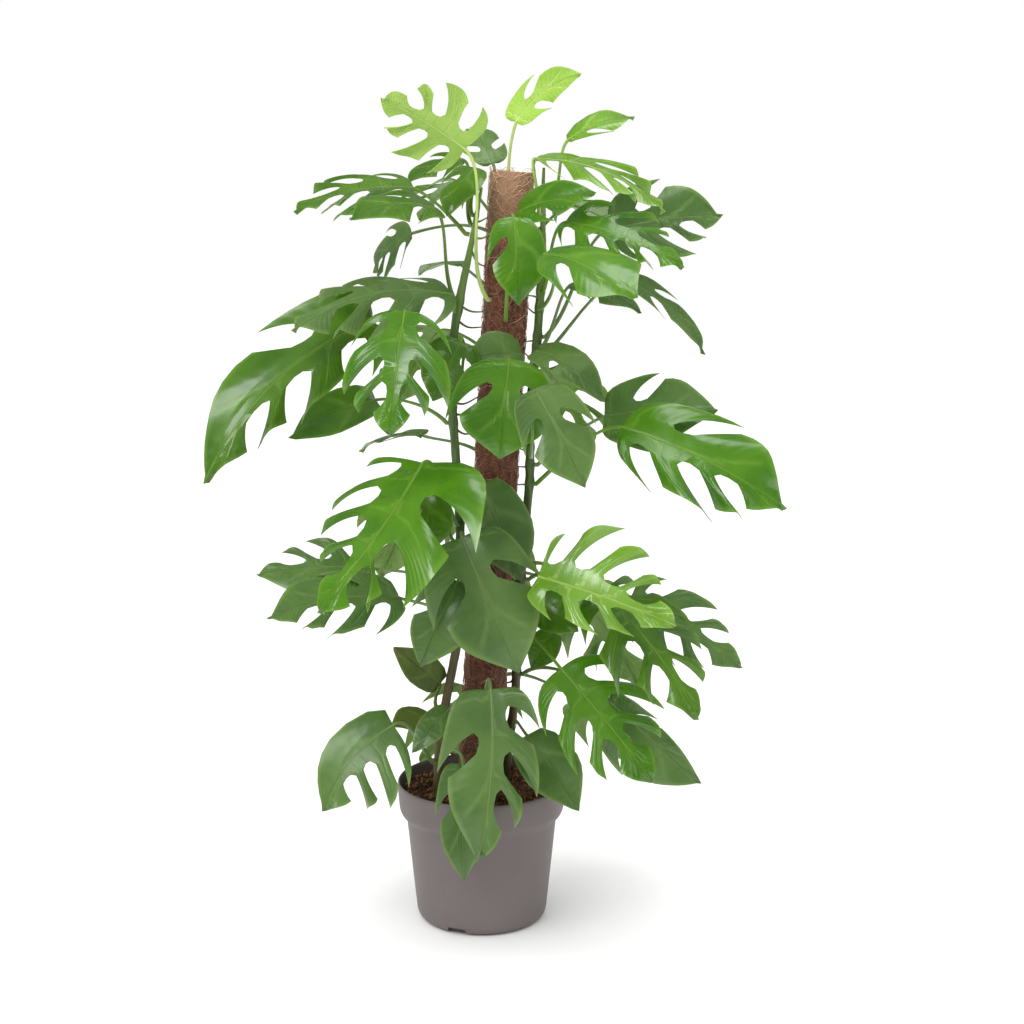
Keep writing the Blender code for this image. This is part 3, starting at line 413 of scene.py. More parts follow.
class Finish:
    """A material and the short words to wire it."""

    def __init__(self, name, roughness, **fixed):
        self.material = bpy.data.materials.new(name)
        self.material.use_nodes = True
        self.tree = self.material.node_tree
        self.shader = self.tree.nodes["Principled BSDF"]
        self.shader.inputs["Roughness"].default_value = roughness
        for socket, value in fixed.items():
            self.shader.inputs[socket.replace("_", " ")].default_value = value
        self.place = self.node("ShaderNodeTexCoord").outputs["Object"]

    def node(self, kind, **settings):
        """A new node with its settings."""
        made = self.tree.nodes.new(kind)
        for key, value in settings.items():
            setattr(made, key, value)
        return made

    def put(self, socket, value):
        """A link where the value is another node's output, else a fixed value."""
        if isinstance(value, bpy.types.NodeSocket):
            self.tree.links.new(value, socket)
        else:
            socket.default_value = value

    def math(self, operation, first, second=0.0, clamp=False):
        """One operation on two values."""
        made = self.node("ShaderNodeMath", operation=operation, use_clamp=clamp)
        self.put(made.inputs[0], first)
        self.put(made.inputs[1], second)
        return made.outputs[0]

    def mix(self, factor, first, second):
        """A colour between two, at a factor from 0 to 1."""
        made = self.node("ShaderNodeMix", data_type="RGBA")
        for index, value in ((0, factor), (6, first), (7, second)):
            self.put(made.inputs[index], value)
        return made.outputs[2]

    def spread(self, value, low, high, to_low=0.0, to_high=1.0):
        """A value eased from one range to another and held within it."""
        made = self.node("ShaderNodeMapRange", interpolation_type="SMOOTHSTEP")
        for index, number in ((0, value), (1, low), (2, high), (3, to_low), (4, to_high)):
            self.put(made.inputs[index], number)
        return made.outputs[0]

    def noise(self, scale, detail=3.0, stretch=None):
        """Cloudy noise on the object's own place, stretched along an axis where that is scaled."""
        place = self.place
        if stretch:
            mapping = self.node("ShaderNodeMapping")
            mapping.inputs["Scale"].default_value = stretch
            self.put(mapping.inputs["Vector"], place)
            place = mapping.outputs[0]
        made = self.node("ShaderNodeTexNoise")
        made.inputs["Scale"].default_value = scale
        made.inputs["Detail"].default_value = detail
        self.put(made.inputs["Vector"], place)
        return made.outputs["Fac"]

    def mark(self, name):
        """The three numbers that each point keeps under a name."""
        made = self.node("ShaderNodeAttribute", attribute_name=name)
        split = self.node("ShaderNodeSeparateXYZ")
        self.put(split.inputs[0], made.outputs["Vector"])
        return split.outputs

    def colour(self, value):
        self.put(self.shader.inputs["Base Color"], value)

    def rough(self, value):
        self.put(self.shader.inputs["Roughness"], value)

    def bump(self, height, distance):
        """Shading of a relief in which a height of 1 stands this many metres out."""
        made = self.node("ShaderNodeBump")
        made.inputs["Distance"].default_value = distance
        self.put(made.inputs["Height"], height)
        self.put(self.shader.inputs["Normal"], made.outputs[0])


print("finish helper ready")

# %% [markdown]
# ## The pot
# A nursery pot is moulded in one shot from soft taupe plastic: thin tapered wall, tall rounded
# collar, a flat foot with drain notches. Turning its half profile gives the whole form. The corners
# of the profile are eased by averaging each point with its neighbours, as a mould's corners are.

# %% Pot finish
def pot_finish():
    """Satin plastic: a slow change of shade and gloss under a fine grain."""
    made = Finish("pot_plastic", .5, Specular_IOR_Level=.4)
    cloud = made.noise(9, 4)
    grain = made.noise(900, 2)
    shade = made.mix(made.spread(cloud, .3, .7), linear((104, 95, 94)), linear((113, 104, 102)))
    made.colour(made.mix(made.math("MULTIPLY", grain, .12), shade, linear((88, 80, 78))))
    made.rough(made.spread(cloud, .2, .8, .42, .56))
    made.bump(grain, .00012)
    return made.material


print("pot profile points:", len(POT_OUTSIDE) + len(POT_INSIDE))

# %% [markdown]
# ### The pot's form
# The wall's half profile is drawn once and turned. A Screw modifier could turn it, but with whole
# arrays its inside and outside are one closed skin from the start. The drain notches are cut last
# with a Boolean, because they are the only parts that aren't round.

# %% Pot surface
def eased(profile, step=1.2, passes=9):
    """A profile cut into short steps, then each inner point set to a quarter of its neighbours and
    half of itself, a few times."""
    profile = np.array(profile, float)
    run = np.concatenate([[0], np.cumsum(np.linalg.norm(np.diff(profile, axis=0), axis=1))])
    at = np.linspace(0, run[-1], int(run[-1] / step))
    points = np.stack([np.interp(at, run, profile[:, axis]) for axis in range(2)], -1)
    for _ in range(passes):
        points[1:-1] = (points[:-2] + 2 * points[1:-1] + points[2:]) / 4
    return points


def notch_block(angle):
    """A wedge across the pot's foot, wider below, for a drain notch."""
    turn = np.radians(angle)
    out = np.array((np.cos(turn), np.sin(turn), 0))
    side = np.array((-np.sin(turn), np.cos(turn), 0))
    low, high = NOTCH_WIDTH / 2, NOTCH_WIDTH / 2 * NOTCH_TAPER
    section = ((-low, -NOTCH_BELOW), (low, -NOTCH_BELOW), (high, NOTCH_HEIGHT), (-high, NOTCH_HEIGHT))
    corners = [out * reach + side * across + np.array((0, 0, height))
               for reach in (FOOT_RADIUS - NOTCH_DEPTH, PAST_FOOT) for across, height in section]
    faces = np.array([(0, 3, 2), (0, 2, 1), (4, 5, 6), (4, 6, 7), (0, 1, 5), (0, 5, 4), (1, 2, 6),
                      (1, 6, 5), (2, 3, 7), (2, 7, 6), (3, 0, 4), (3, 4, 7)])
    return np.array(corners), faces


def add_pot():
    """The turned pot with its drain notches cut out."""
    profile = eased(((0, 0), *POT_OUTSIDE, *POT_INSIDE, (0, POT_FLOOR)))
    points, faces = turned(profile, POT_SIDES)
    plastic = pot_finish()
    pot = add_piece("nursery_pot", points, faces, [plastic], ["pot"], sharp=60)
    for angle in NOTCH_ANGLES:
        block_points, block_faces = notch_block(angle)
        mesh = bpy.data.meshes.new("notch")
        mesh.from_pydata((block_points * MM).tolist(), [], block_faces.tolist())
        block = bpy.data.objects.new("notch", mesh)
        bpy.context.collection.objects.link(block)
        cut = pot.modifiers.new("notch", "BOOLEAN")
        cut.operation, cut.solver, cut.object = "DIFFERENCE", "EXACT", block
        bpy.context.view_layer.update()
        graph = bpy.context.evaluated_depsgraph_get()
        pot.data = bpy.data.meshes.new_from_object(pot.evaluated_get(graph))
        pot.modifiers.clear()
        bpy.data.objects.remove(block, do_unlink=True)
    print("pot faces:", len(pot.data.polygons))


add_pot()

# %% [markdown]
# ## Soil
# Potting mix is dark crumbs with chips of bark. The frame's soil solid has the right level, so it
# stays and gets a crumbly finish. Loose chips, each a squashed double pyramid with jittered
# corners, are strewn over it by a seeded rule, clear of the pole.

# %% Soil finish and chips
def soil_finish(name, dark, light):
    """Brown crumbs: two sizes of noise for colour and a strong bump."""
    made = Finish(name, .95, Specular_IOR_Level=.2)
    coarse, fine = made.noise(90, 4), made.noise(420, 3)
    both = made.math("MULTIPLY", coarse, fine)
    made.colour(made.mix(made.spread(both, .12, .42), linear(dark), linear(light)))
    made.bump(made.math("ADD", coarse, fine), .003)
    return made.material


def chip_points(chance):
    """Six corners for each chip: plus and minus each of three square directions, scaled by a
    length, a width and a thickness."""
    radius = CHIP_REACH * np.sqrt(chance.uniform(0, 1, CHIPS))
    turn = chance.uniform(0, 2 * np.pi, CHIPS)
    centre = np.stack([radius * np.cos(turn), radius * np.sin(turn),
                       SOIL_TOP + 1.5 - .045 * np.maximum(radius - 40, 0)], -1)
    long = unit(chance.normal(0, 1, (CHIPS, 3)) * (1, 1, .35))
    wide = unit(np.cross(long, chance.normal(0, 1, (CHIPS, 3))))
    thin = np.cross(long, wide)
    size = chance.uniform(.5, 1, (CHIPS, 3)) * CHIP_SIZE
    arms = [sign * axis * size[:, order, None] * chance.uniform(.7, 1, (CHIPS, 1))
            for order, axis in enumerate((long, wide, thin)) for sign in (1, -1)]
    keep = np.hypot(centre[:, 0] + 2, centre[:, 1] - 5) > POLE_RADIUS + 4
    return (centre[:, None] + np.stack(arms, 1))[keep]


def add_soil():
    """The frame's soil with its finish, and the chips on it."""
    mix = soil_finish("potting_mix", (38, 26, 20), (92, 66, 48))
    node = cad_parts["soil"]
    node.data.materials.clear()
    node.data.materials.append(mix)
    corners = chip_points(np.random.default_rng(CHIP_SEED))
    face = np.array([(0, 2, 4), (2, 1, 4), (1, 3, 4), (3, 0, 4), (2, 0, 5), (1, 2, 5), (3, 1, 5),
                     (0, 3, 5)])
    faces = (face[None] + 6 * np.arange(len(corners))[:, None, None]).reshape(-1, 3)
    bark = soil_finish("bark_chips", (58, 38, 26), (142, 104, 74))
    add_piece("bark_chips", corners.reshape(-1, 3), faces, [bark], sharp=20)
    print("bark chips:", len(corners))


add_soil()

# %% [markdown]
# ## Coir pole
# The pole is a timber stake in a sleeve of coconut fibre. From afar the fibre is one red-brown
# felt, and near to it is thousands of stiff strands that cross each other, with a few bleached
# ones. So it is made twice: an uneven skin that fills the gaps, and a layer of thin three-sided
# strands that wander over it. Each strand is a short helix with its own slope and sway.

# %% Coir finish
def coir_finish(name, dark, light, pale):
    """Fibre: a streaky noise along the pole, a mark that gives each strand its own shade, and painted light
    that makes the pole paler towards its top.
    """
    made = Finish(name, .9, Sheen_Weight=.15)
    streak = made.noise(260, 4, stretch=(1, 1, .35))
    tone, bleach, _ = made.mark("strand")
    body = made.mix(made.spread(streak, .3, .7), linear(dark), linear(light))
    body = made.mix(made.math("MULTIPLY", tone, .55), body, linear(light))
    height = made.node("ShaderNodeSeparateXYZ")
    made.put(height.inputs[0], made.place)
    # Painted light: the fibre turns paler towards the pole's top, where it stands clear of the leaves'
    # shade.
    lit_top = made.spread(height.outputs[2], .74, .84, 0, .7)
    made.colour(made.mix(made.math("MAXIMUM", bleach, lit_top), body, linear(pale)))
    made.bump(streak, .0012)
    return made.material


print("pole radius in mm:", POLE_RADIUS)

# %% [markdown]
# ### The sleeve and its strands
# Hair curves would be lighter, but an exported mesh can't hold them. Three-sided rods are real
# surfaces, and a strand less than a millimetre thick needs no more sides than that.

# %% Coir sleeve and strands
def leaned(points):
    """Upright points moved to the pole's foot and leaned along it."""
    foot, top = np.array(POLE_FOOT, float), np.array(POLE_TOP, float)
    up = unit(top - foot)
    side = unit(np.cross((0, 1, 0), up))
    return foot + points @ np.array([side, np.cross(up, side), up])


def sleeve_surface(length, chance):
    """The pole's radius less a seeded unevenness, turned round it, with a sunk, ragged top."""
    turn = np.arange(SLEEVE_SIDES) / SLEEVE_SIDES * 2 * np.pi
    height = np.linspace(0, length, SLEEVE_RINGS)
    rough = chance.normal(0, 1, (SLEEVE_RINGS, SLEEVE_SIDES))
    rough = (rough + np.roll(rough, 1, 0) + np.roll(rough, 1, 1) + np.roll(rough, -1, 1)) / 2
    radius = POLE_RADIUS - 1.6 + .5 * np.clip(rough, -2, 1.6)
    rows = np.stack([radius * np.cos(turn), radius * np.sin(turn), height[:, None] + 0 * turn], -1)
    crown = np.stack([.55 * radius[-1] * np.cos(turn), .55 * radius[-1] * np.sin(turn),
                      length - 5 + chance.uniform(-2, 3, SLEEVE_SIDES)], -1)[None]
    rows = np.concatenate([rows, crown])
    points = np.vstack([rows.reshape(-1, 3), (0, 0, 0), (0, 0, length - 6)])
    return points, ring_faces(SLEEVE_RINGS + 1, SLEEVE_SIDES)


def strand_surfaces(length, chance):
    """Each strand follows angle = start + slope t + sway sin, height = start + run t on a cylinder
    just outside the sleeve, with a triangle of a fraction of a millimetre carried along it."""
    t = np.linspace(0, 1, FIBRE_POINTS)[None]
    run = chance.uniform(-26, 26, (FIBRES, 1))
    slope = chance.uniform(-1.5, 1.5, (FIBRES, 1))
    sway = chance.uniform(-.12, .12, (FIBRES, 1)) * np.sin(chance.uniform(2, 7, (FIBRES, 1)) * t)
    angle = chance.uniform(0, 2 * np.pi, (FIBRES, 1)) + slope * t + sway
    height = chance.uniform(4, length + 1, (FIBRES, 1)) + run * t + 3 * np.sin(5 * t + angle[:, :1])
    height = np.clip(height, 2, length + 4)
    radius = POLE_RADIUS - 1.2 + chance.uniform(0, 1.3, (FIBRES, 1)) + .4 * np.sin(9 * t + angle[:, :1])
    path = np.stack([radius * np.cos(angle), radius * np.sin(angle), height], -1)
    along = unit(np.gradient(path, axis=1))
    out = unit(path * (1, 1, 0))
    beside = np.cross(along, out)
    taper = np.interp(t, (0, .1, .9, 1), (.3, 1, 1, .2))[..., None]
    thick = chance.uniform(*FIBRE_THICKNESS, (FIBRES, 1, 1)) * taper
    corner = np.arange(3) / 3 * 2 * np.pi
    rings = path[:, :, None] + thick[:, :, None] * (
        np.cos(corner)[:, None] * out[:, :, None] + np.sin(corner)[:, None] * beside[:, :, None])
    here, after = np.arange(3), (np.arange(3) + 1) % 3
    low = 3 * np.arange(FIBRE_POINTS - 1)[:, None]
    faces = np.concatenate([
        np.stack([low + here, low + after, low + after + 3], -1).reshape(-1, 3),
        np.stack([low + here, low + after + 3, low + here + 3], -1).reshape(-1, 3),
        [(0, 2, 1)], [(3 * FIBRE_POINTS - 3, 3 * FIBRE_POINTS - 2, 3 * FIBRE_POINTS - 1)]])
    count = 3 * FIBRE_POINTS
    faces = (faces[None] + count * np.arange(FIBRES)[:, None, None]).reshape(-1, 3)
    bleach = (chance.uniform(0, 1, FIBRES) > .9) * chance.uniform(.3, .9, FIBRES)
    marks = np.stack([chance.uniform(0, 1, FIBRES), bleach, np.zeros(FIBRES)], -1)
    return rings.reshape(-1, 3), faces, np.repeat(marks, count, axis=0)


def add_pole():
    """The felt-like sleeve, its strands and the stake's timber."""
    chance = np.random.default_rng(COIR_SEED)
    length = np.linalg.norm(np.array(POLE_TOP, float) - np.array(POLE_FOOT, float))
    points, faces = sleeve_surface(length, chance)
    felt = coir_finish("coir_felt", (70, 40, 28), (120, 76, 54), (180, 140, 108))
    add_piece("coir_sleeve", leaned(points), faces, [felt], ["coir_pole"],
              marks={"strand": np.zeros((len(points), 3))})
    points, faces, marks = strand_surfaces(length, chance)
    fibre = coir_finish("coir_strand", (108, 64, 44), (172, 116, 84), (226, 198, 162))
    add_piece("coir_strands", leaned(points), faces, [fibre], ["coir_pole"],
              marks={"strand": marks})
    timber = Finish("stake_timber", .8)
    grain = timber.noise(60, 4, stretch=(1, 1, .08))
    timber.colour(timber.mix(grain, linear((150, 112, 74)), linear((196, 160, 116))))
    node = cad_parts["pole_stake"]
    node.data.materials.clear()
    node.data.materials.append(timber.material)
    print("coir strands:", FIBRES)


add_pole()

# %% [markdown]
# ## Stems
# The climbing stems are green rods with a swollen ring wherever a leaf grows, and rough brown skin
# lower down. Roots leave them at those rings and grip the coir. A circle carried along the frame's
# own axis, with a radius that swells at each leaf's height, gives the stem.

# %% Stem finish
def stem_finish():
    """Green skin with brown patches, fine lengthwise lines and painted light that makes the stems a paler
    green towards their tops.
    """
    made = Finish("stem_skin", .5, Specular_IOR_Level=.4)
    patch = made.noise(34, 5, stretch=(1, 1, .4))
    line = made.noise(300, 3, stretch=(1, 1, .06))
    height = made.node("ShaderNodeSeparateXYZ")
    made.put(height.inputs[0], made.place)
    low = made.spread(height.outputs[2], .16, .6, .35, 0)
    brown = made.spread(made.math("ADD", patch, low), .56, .72)
    green = made.mix(made.spread(line, .35, .65), linear((54, 78, 36)), linear((84, 108, 56)))
    # Painted light: a paler green towards the stems' tops lifts the shade that falls on them there.
    young = made.spread(height.outputs[2], .6, .82, 0, .8)
    green = made.mix(young, green, linear((122, 154, 74)))
    made.colour(made.mix(made.math("MULTIPLY", brown, .7), green, linear((92, 66, 44))))
    made.rough(made.spread(patch, .3, .7, .4, .7))
    made.bump(made.math("ADD", line, patch), .0008)
    return made.material


print("stem radius in mm:", STEM_RADIUS)

# %% [markdown]
# ### Stems and clinging roots
# A stem could be a curve object with a bevel. Rings of points are used here, so that each ring can
# swell where a leaf grows and be a little uneven, and so that roots can start from the same axis.

# %% Stem surfaces
def stem_axis(name):
    """The frame's own axis of a stem, at the steps that its solid has."""
    return smooth_path(STEMS[name], AXIS_RINGS)


def stem_place(name, height):
    """Point and direction of a stem or of the pole at a height."""
    if name == "pole":
        foot, top = np.array(POLE_FOOT, float), np.array(POLE_TOP, float)
        share = (height - foot[2]) / (top[2] - foot[2])
        return foot + (top - foot) * share, unit(top - foot)
    axis = stem_axis(name)
    ring = int(np.clip(np.searchsorted(axis[:, 2], height), 1, len(axis) - 1))
    low, high = axis[ring - 1], axis[ring]
    share = (height - low[2]) / (high[2] - low[2])
    return low + (high - low) * share, unit(high - low)


def root_surfaces(name, heights, chance):
    """Thin tubes from the stem's axis to the pole's skin, one at or just under each leaf's ring."""
    roots = []
    for height in heights:
        height = height - chance.uniform(0, 14)
        start, _ = stem_place(name, height)
        end, _ = stem_place("pole", height + chance.uniform(-22, 8))
        away = unit((start - end) * (1, 1, 0))
        side = np.cross(away, (0, 0, 1)) * chance.uniform(-12, 12)
        end = end + unit(away * POLE_RADIUS + side) * (POLE_RADIUS - .5)
        middle = (start + end) / 2 + away * chance.uniform(1, 4) + (0, 0, chance.uniform(-8, 3))
        path = bezier((start, middle, middle, end), ROOT_POINTS)
        roots.append(tube(path, np.linspace(1.5, .7, ROOT_POINTS), ROOT_SIDES))
    return roots


def add_stems():
    """Each stem with its rings and clinging roots."""
    skin = stem_finish()
    chance = np.random.default_rng(STEM_SEED)
    for name in STEMS:
        coarse = stem_axis(name)
        at = np.linspace(0, AXIS_RINGS - 1, STEM_RINGS)
        path = np.stack([np.interp(at, np.arange(AXIS_RINGS), coarse[:, axis]) for axis in range(3)], -1)
        heights = np.array([row["height"] for row in LEAVES if row["stem"] == name], float)
        swell = np.exp(-((path[:, 2:3] - heights) / 5)**2).max(1)
        taper = np.interp(np.linspace(0, 1, STEM_RINGS), (0, .85, 1), (1, .9, .3))
        bumps = .22 * chance.normal(0, 1, (STEM_RINGS, STEM_SIDES))
        bumps = (bumps + np.roll(bumps, 1, 0) + np.roll(bumps, -1, 0)) / 3
        body = tube(path, (STEM_RADIUS - .3 + swell) * taper, STEM_SIDES, bumps)
        points, faces = joined(body, *root_surfaces(name, heights, chance))
        add_piece("vine_" + name, points, faces, [skin], ["stem_" + name], sharp=70)
    print("stems:", len(STEMS))


add_stems()

# %% [markdown]
# ## Leaves
# A leaf is a heart of stiff green sheet, cut between its side veins into lobes. The flat outline
# comes from the veins: each one leaves the midrib, curves forward and ends at the margin, and a
# lobe is the strip between two of them, from the unbroken middle out to its tip. The blade then
# bends: its midrib is an arc in space, and each half folds up from it and curls down, as measured
# for that leaf. Every point also keeps where it lies on the leaf, so that the finish can draw the
# midrib, the side veins and the paler margin in the right place.

# %% Blade surface
def as_pair(value):
    """One value for both halves of a leaf, or a value for each."""
    return value if isinstance(value, tuple) else (value, value)


class Blade:
    """The surface of one leaf blade. u runs out from the midrib and v along it, both as shares of
    the midrib's length."""

    def __init__(self, row, seed):
        knuckle, tip, faces = (np.array(row[key], float) for key in ("knuckle", "tip", "faces"))
        chord = tip - knuckle
        length = np.linalg.norm(chord)
        ahead = chord / length
        up = unit(faces - (faces @ ahead) * ahead)
        side = np.cross(ahead, up)
        middle = knuckle + chord / 2 + up * row["arch"] * 2 * length + side * row["swing"] * length
        t = np.linspace(0, 1, CURVE_STEPS)[:, None]
        self.line = (1 - t)**2 * knuckle + 2 * t * (1 - t) * middle + t**2 * tip
        run = np.linalg.norm(np.diff(self.line, axis=0), axis=1)
        self.run = np.concatenate([[0], np.cumsum(run)])
        self.length = self.run[-1]
        self.along = unit(np.gradient(self.line, axis=0))
        self.up = unit(up - (self.along @ up)[:, None] * self.along)
        self.width, self.curl = as_pair(row["width"]), as_pair(row["curl"])
        self.fold, self.sweep = row["fold"], row["sweep"]
        chance = np.random.default_rng(LEAF_SEED + seed)
        self.cuts = []
        for half in range(2):
            cuts = np.array(CUTS[row["lobes"][half]])
            cuts = cuts + chance.uniform(-CUT_SPREAD, CUT_SPREAD, len(cuts))
            self.cuts.append(tuple(cuts) if row["cuts"] is None else row["cuts"][half])
        self.droop = chance.uniform(-.4, .7, LOBE_DRAWS)
        self.twist = chance.uniform(-.5, .5, LOBE_DRAWS)
        self.reach = chance.uniform(.93, 1.03, LOBE_DRAWS)
        self.phase = chance.uniform(0, 2 * np.pi, LOBE_DRAWS)

    def midrib(self, v):
        """Point, direction, upward normal and sideways direction of the midrib."""
        distance = np.asarray(v, float) * self.length
        inside = np.clip(distance, 0, self.length)

        def read(values):
            return np.stack([np.interp(inside, self.run, values[:, axis]) for axis in range(3)], -1)

        along, up = unit(read(self.along)), read(self.up)
        up = unit(up - (along * up).sum(-1, keepdims=True) * along)
        point = read(self.line) + (distance - inside)[..., None] * along
        return point, along, up, np.cross(along, up)

    def place(self, u, v, across, outward, lobe, side):
        """The bent place of a flat one. Each half is an arc: out = (sin f - sin(f - c u)) / c and
        rise = (cos(f - c u) - cos f) / c, for a fold f and a curl c. A lobe is also crowned,
        twisted, quilted between its veins and waved at its margin."""
        curl = np.where(side > 0, self.curl[1], self.curl[0]) + outward * self.droop[lobe]
        curl = np.where(np.abs(curl) < 1e-6, 1e-6, curl)
        out = (np.sin(self.fold) - np.sin(self.fold - curl * np.abs(u))) / curl
        rise = (np.cos(self.fold - curl * np.abs(u)) - np.cos(self.fold)) / curl
        edge = 2 * across - 1
        rise = rise + outward * (LOBE_TWIST * self.twist[lobe] * edge - LOBE_CROWN * edge**2)
        wave = MARGIN_WAVE * outward**2 * np.sin(7 * across + self.phase[lobe])
        dip = np.clip(outward * 4, 0, 1) * (1 - .6 * outward)
        quilt = -QUILT * np.exp(-((across - SIDE_VEIN) / .1)**2) * dip
        groove = -MIDRIB_GROOVE * np.exp(-(u / .012)**2) * (1 - v)
        point, _, up, beside = self.midrib(v)
        return (point + (side * out * self.length)[..., None] * beside
                + ((rise + wave + quilt + groove) * self.length)[..., None] * up)

    def edges(self, half):
        """Places of the cuts of one half, with its ends. A leaf with three lobes or more to a half
        has one more, finer cut in its end lobe."""
        cuts = self.cuts[half]
        finer = (cuts[-1] + (1 - cuts[-1]) * END_CUT,) if len(cuts) > 1 else ()
        return (0, *cuts, *finer, 1)

    def lobe(self, side, order):
        """Flat places of one lobe on a grid: across it, from its base edge to its tip edge, and
        outward from the unbroken middle of the leaf to the lobe's end."""
        half = 0 if side < 0 else 1
        edges = self.edges(half)
        lobes = len(edges) - 1
        outward = np.linspace(0, 1, LOBE_ROWS)**.85
        outward[0] = .015
        across, outward = np.meshgrid(np.linspace(0, 1, LOBE_COLUMNS + 1), outward, indexing="ij")
        rank = min(order, len(self.cuts[half])) + (0 if side > 0 else HALF_STEP)
        if lobes == 1:
            end = np.ones_like(across)
        elif order == lobes - 1:
            end = .99 - .16 * (1 - across)**4
        elif order == 0:
            end = .97 * self.reach[rank] + LOBE_HOOK * across**4
        else:
            end = .96 * self.reach[rank] - .16 * (1 - across)**3 + LOBE_HOOK * across**4
        reach = CUT_ROOT + (end - CUT_ROOT) * outward
        gap = CUT_GAP * np.sqrt(np.clip(outward / .12, 0, 1)) * (1 + .8 * outward - outward**2)
        low = edges[order] + (gap if order > 0 else 0)
        high = edges[order + 1] - (gap if order < lobes - 1 else 0)
        vein = low + (high - low) * across
        root, tip = smooth_curve(VEIN, VEIN_ROOT, vein), smooth_curve(VEIN, VEIN_END, vein)
        out = smooth_curve(VEIN, VEIN_OUT, vein) * self.width[half] / VEIN_OUT_WIDTH
        bend = root + .25 * (tip - root)
        u = side * (2 * reach * (1 - reach) * .55 * out + reach**2 * out)
        v = (1 - reach)**2 * root + 2 * reach * (1 - reach) * bend + reach**2 * tip
        v = v + self.sweep * np.abs(u) * reach * np.clip(1.6 * (1 - v), 0, 1)
        return u, v, across, outward, np.full(u.shape, rank), np.full(u.shape, side)

    def surface(self):
        """Points, triangles and marks of the blade's middle surface: the lobes' grids, and a strip
        from each half's inner edge to the midrib."""
        along = np.linspace(0, 1, MIDRIB_PARTS + 1)
        none = np.zeros(MIDRIB_PARTS + 1)
        parts = [(none, along, none + .5, none, none.astype(int), none + 1)]
        triangles, count = [], MIDRIB_PARTS + 1
        for side in (1, -1):
            edge, edge_at = [], []
            for order in range(len(self.edges(0 if side < 0 else 1)) - 1):
                part = self.lobe(side, order)
                index = np.arange(count, count + part[0].size).reshape(part[0].shape)
                count += part[0].size
                parts.append(part)
                a, b, c, d = index[:-1, :-1], index[1:, :-1], index[1:, 1:], index[:-1, 1:]
                faces = np.concatenate([np.stack([a, b, c], -1).reshape(-1, 3),
                                        np.stack([a, c, d], -1).reshape(-1, 3)])
                triangles.append(faces if side < 0 else faces[:, ::-1])
                edge.append(index[:, 0])
                edge_at.append(part[1][:, 0])
            faces = strip(np.arange(MIDRIB_PARTS + 1), along, np.concatenate(edge), np.concatenate(edge_at))
            triangles.append(faces if side < 0 else faces[:, ::-1])
        u, v, across, outward, lobe, side = (
            np.concatenate([np.ravel(part[column]) for part in parts]) for column in range(6))
        triangles = np.concatenate(triangles)
        key = np.round(np.stack([u, v], -1) * 1e5).astype(np.int64)
        _, first, same = np.unique(key, axis=0, return_index=True, return_inverse=True)
        triangles = same.reshape(-1)[triangles]
        a, b, c = triangles.T
        triangles = triangles[(a != b) & (b != c) & (a != c)]
        points = self.place(u[first], v[first], across[first], outward[first],
                            lobe[first].astype(int), side[first])
        marks = np.stack([u, v, across, outward], -1)[first]
        return points, triangles, marks


def strip(inner, inner_at, outer, outer_at):
    """Triangles between two rows of points: their steps are taken in the order of their places
    along the row, and each step makes a triangle with the last point reached on the other row."""
    inner_at = (inner_at - inner_at[0]) / (inner_at[-1] - inner_at[0])
    outer_at = np.maximum.accumulate((outer_at - outer_at[0]) / (outer_at[-1] - outer_at[0]))
    places = np.concatenate([inner_at[1:], outer_at[1:]])
    is_inner = np.arange(len(places)) < len(inner) - 1
    order = np.argsort(places, kind="stable")
    is_inner = is_inner[order]
    i = np.cumsum(is_inner) - is_inner
    j = np.cumsum(~is_inner) - ~is_inner
    third = np.where(is_inner, inner[np.minimum(i + 1, len(inner) - 1)],
                     outer[np.minimum(j + 1, len(outer) - 1)])
    return np.stack([inner[i], third, outer[j]], -1)


def thickened(points, triangles):
    """A closed sheet: the surface moved half a thickness along its normal to each side, and a wall
    along its free edges."""
    normal = np.zeros_like(points)
    face = np.cross(points[triangles[:, 1]] - points[triangles[:, 0]],
                    points[triangles[:, 2]] - points[triangles[:, 0]])
    for corner in range(3):
        np.add.at(normal, triangles[:, corner], face)
    normal = unit(normal) * BLADE_THICKNESS / 2
    edges = np.concatenate([triangles[:, [0, 1]], triangles[:, [1, 2]], triangles[:, [2, 0]]])
    _, kind, uses = np.unique(np.sort(edges, axis=1), axis=0, return_inverse=True, return_counts=True)
    rim = edges[uses[kind.reshape(-1)] == 1]
    a, b, under = rim[:, 0], rim[:, 1], len(points)
    walls = [np.stack([b, a, a + under], -1), np.stack([b, a + under, b + under], -1)]
    return (np.concatenate([points + normal, points - normal]),
            np.concatenate([triangles, triangles[:, ::-1] + under, *walls]))


print("grid of a lobe:", LOBE_COLUMNS + 1, "by", LOBE_ROWS)

# %% [markdown]
# ## Leaf stalks
# The stalk clasps the stem, bends up to a slightly thicker knuckle and runs on under the blade as
# its raised midrib, thinning towards the tip. It is one tapered rod along one smooth path.

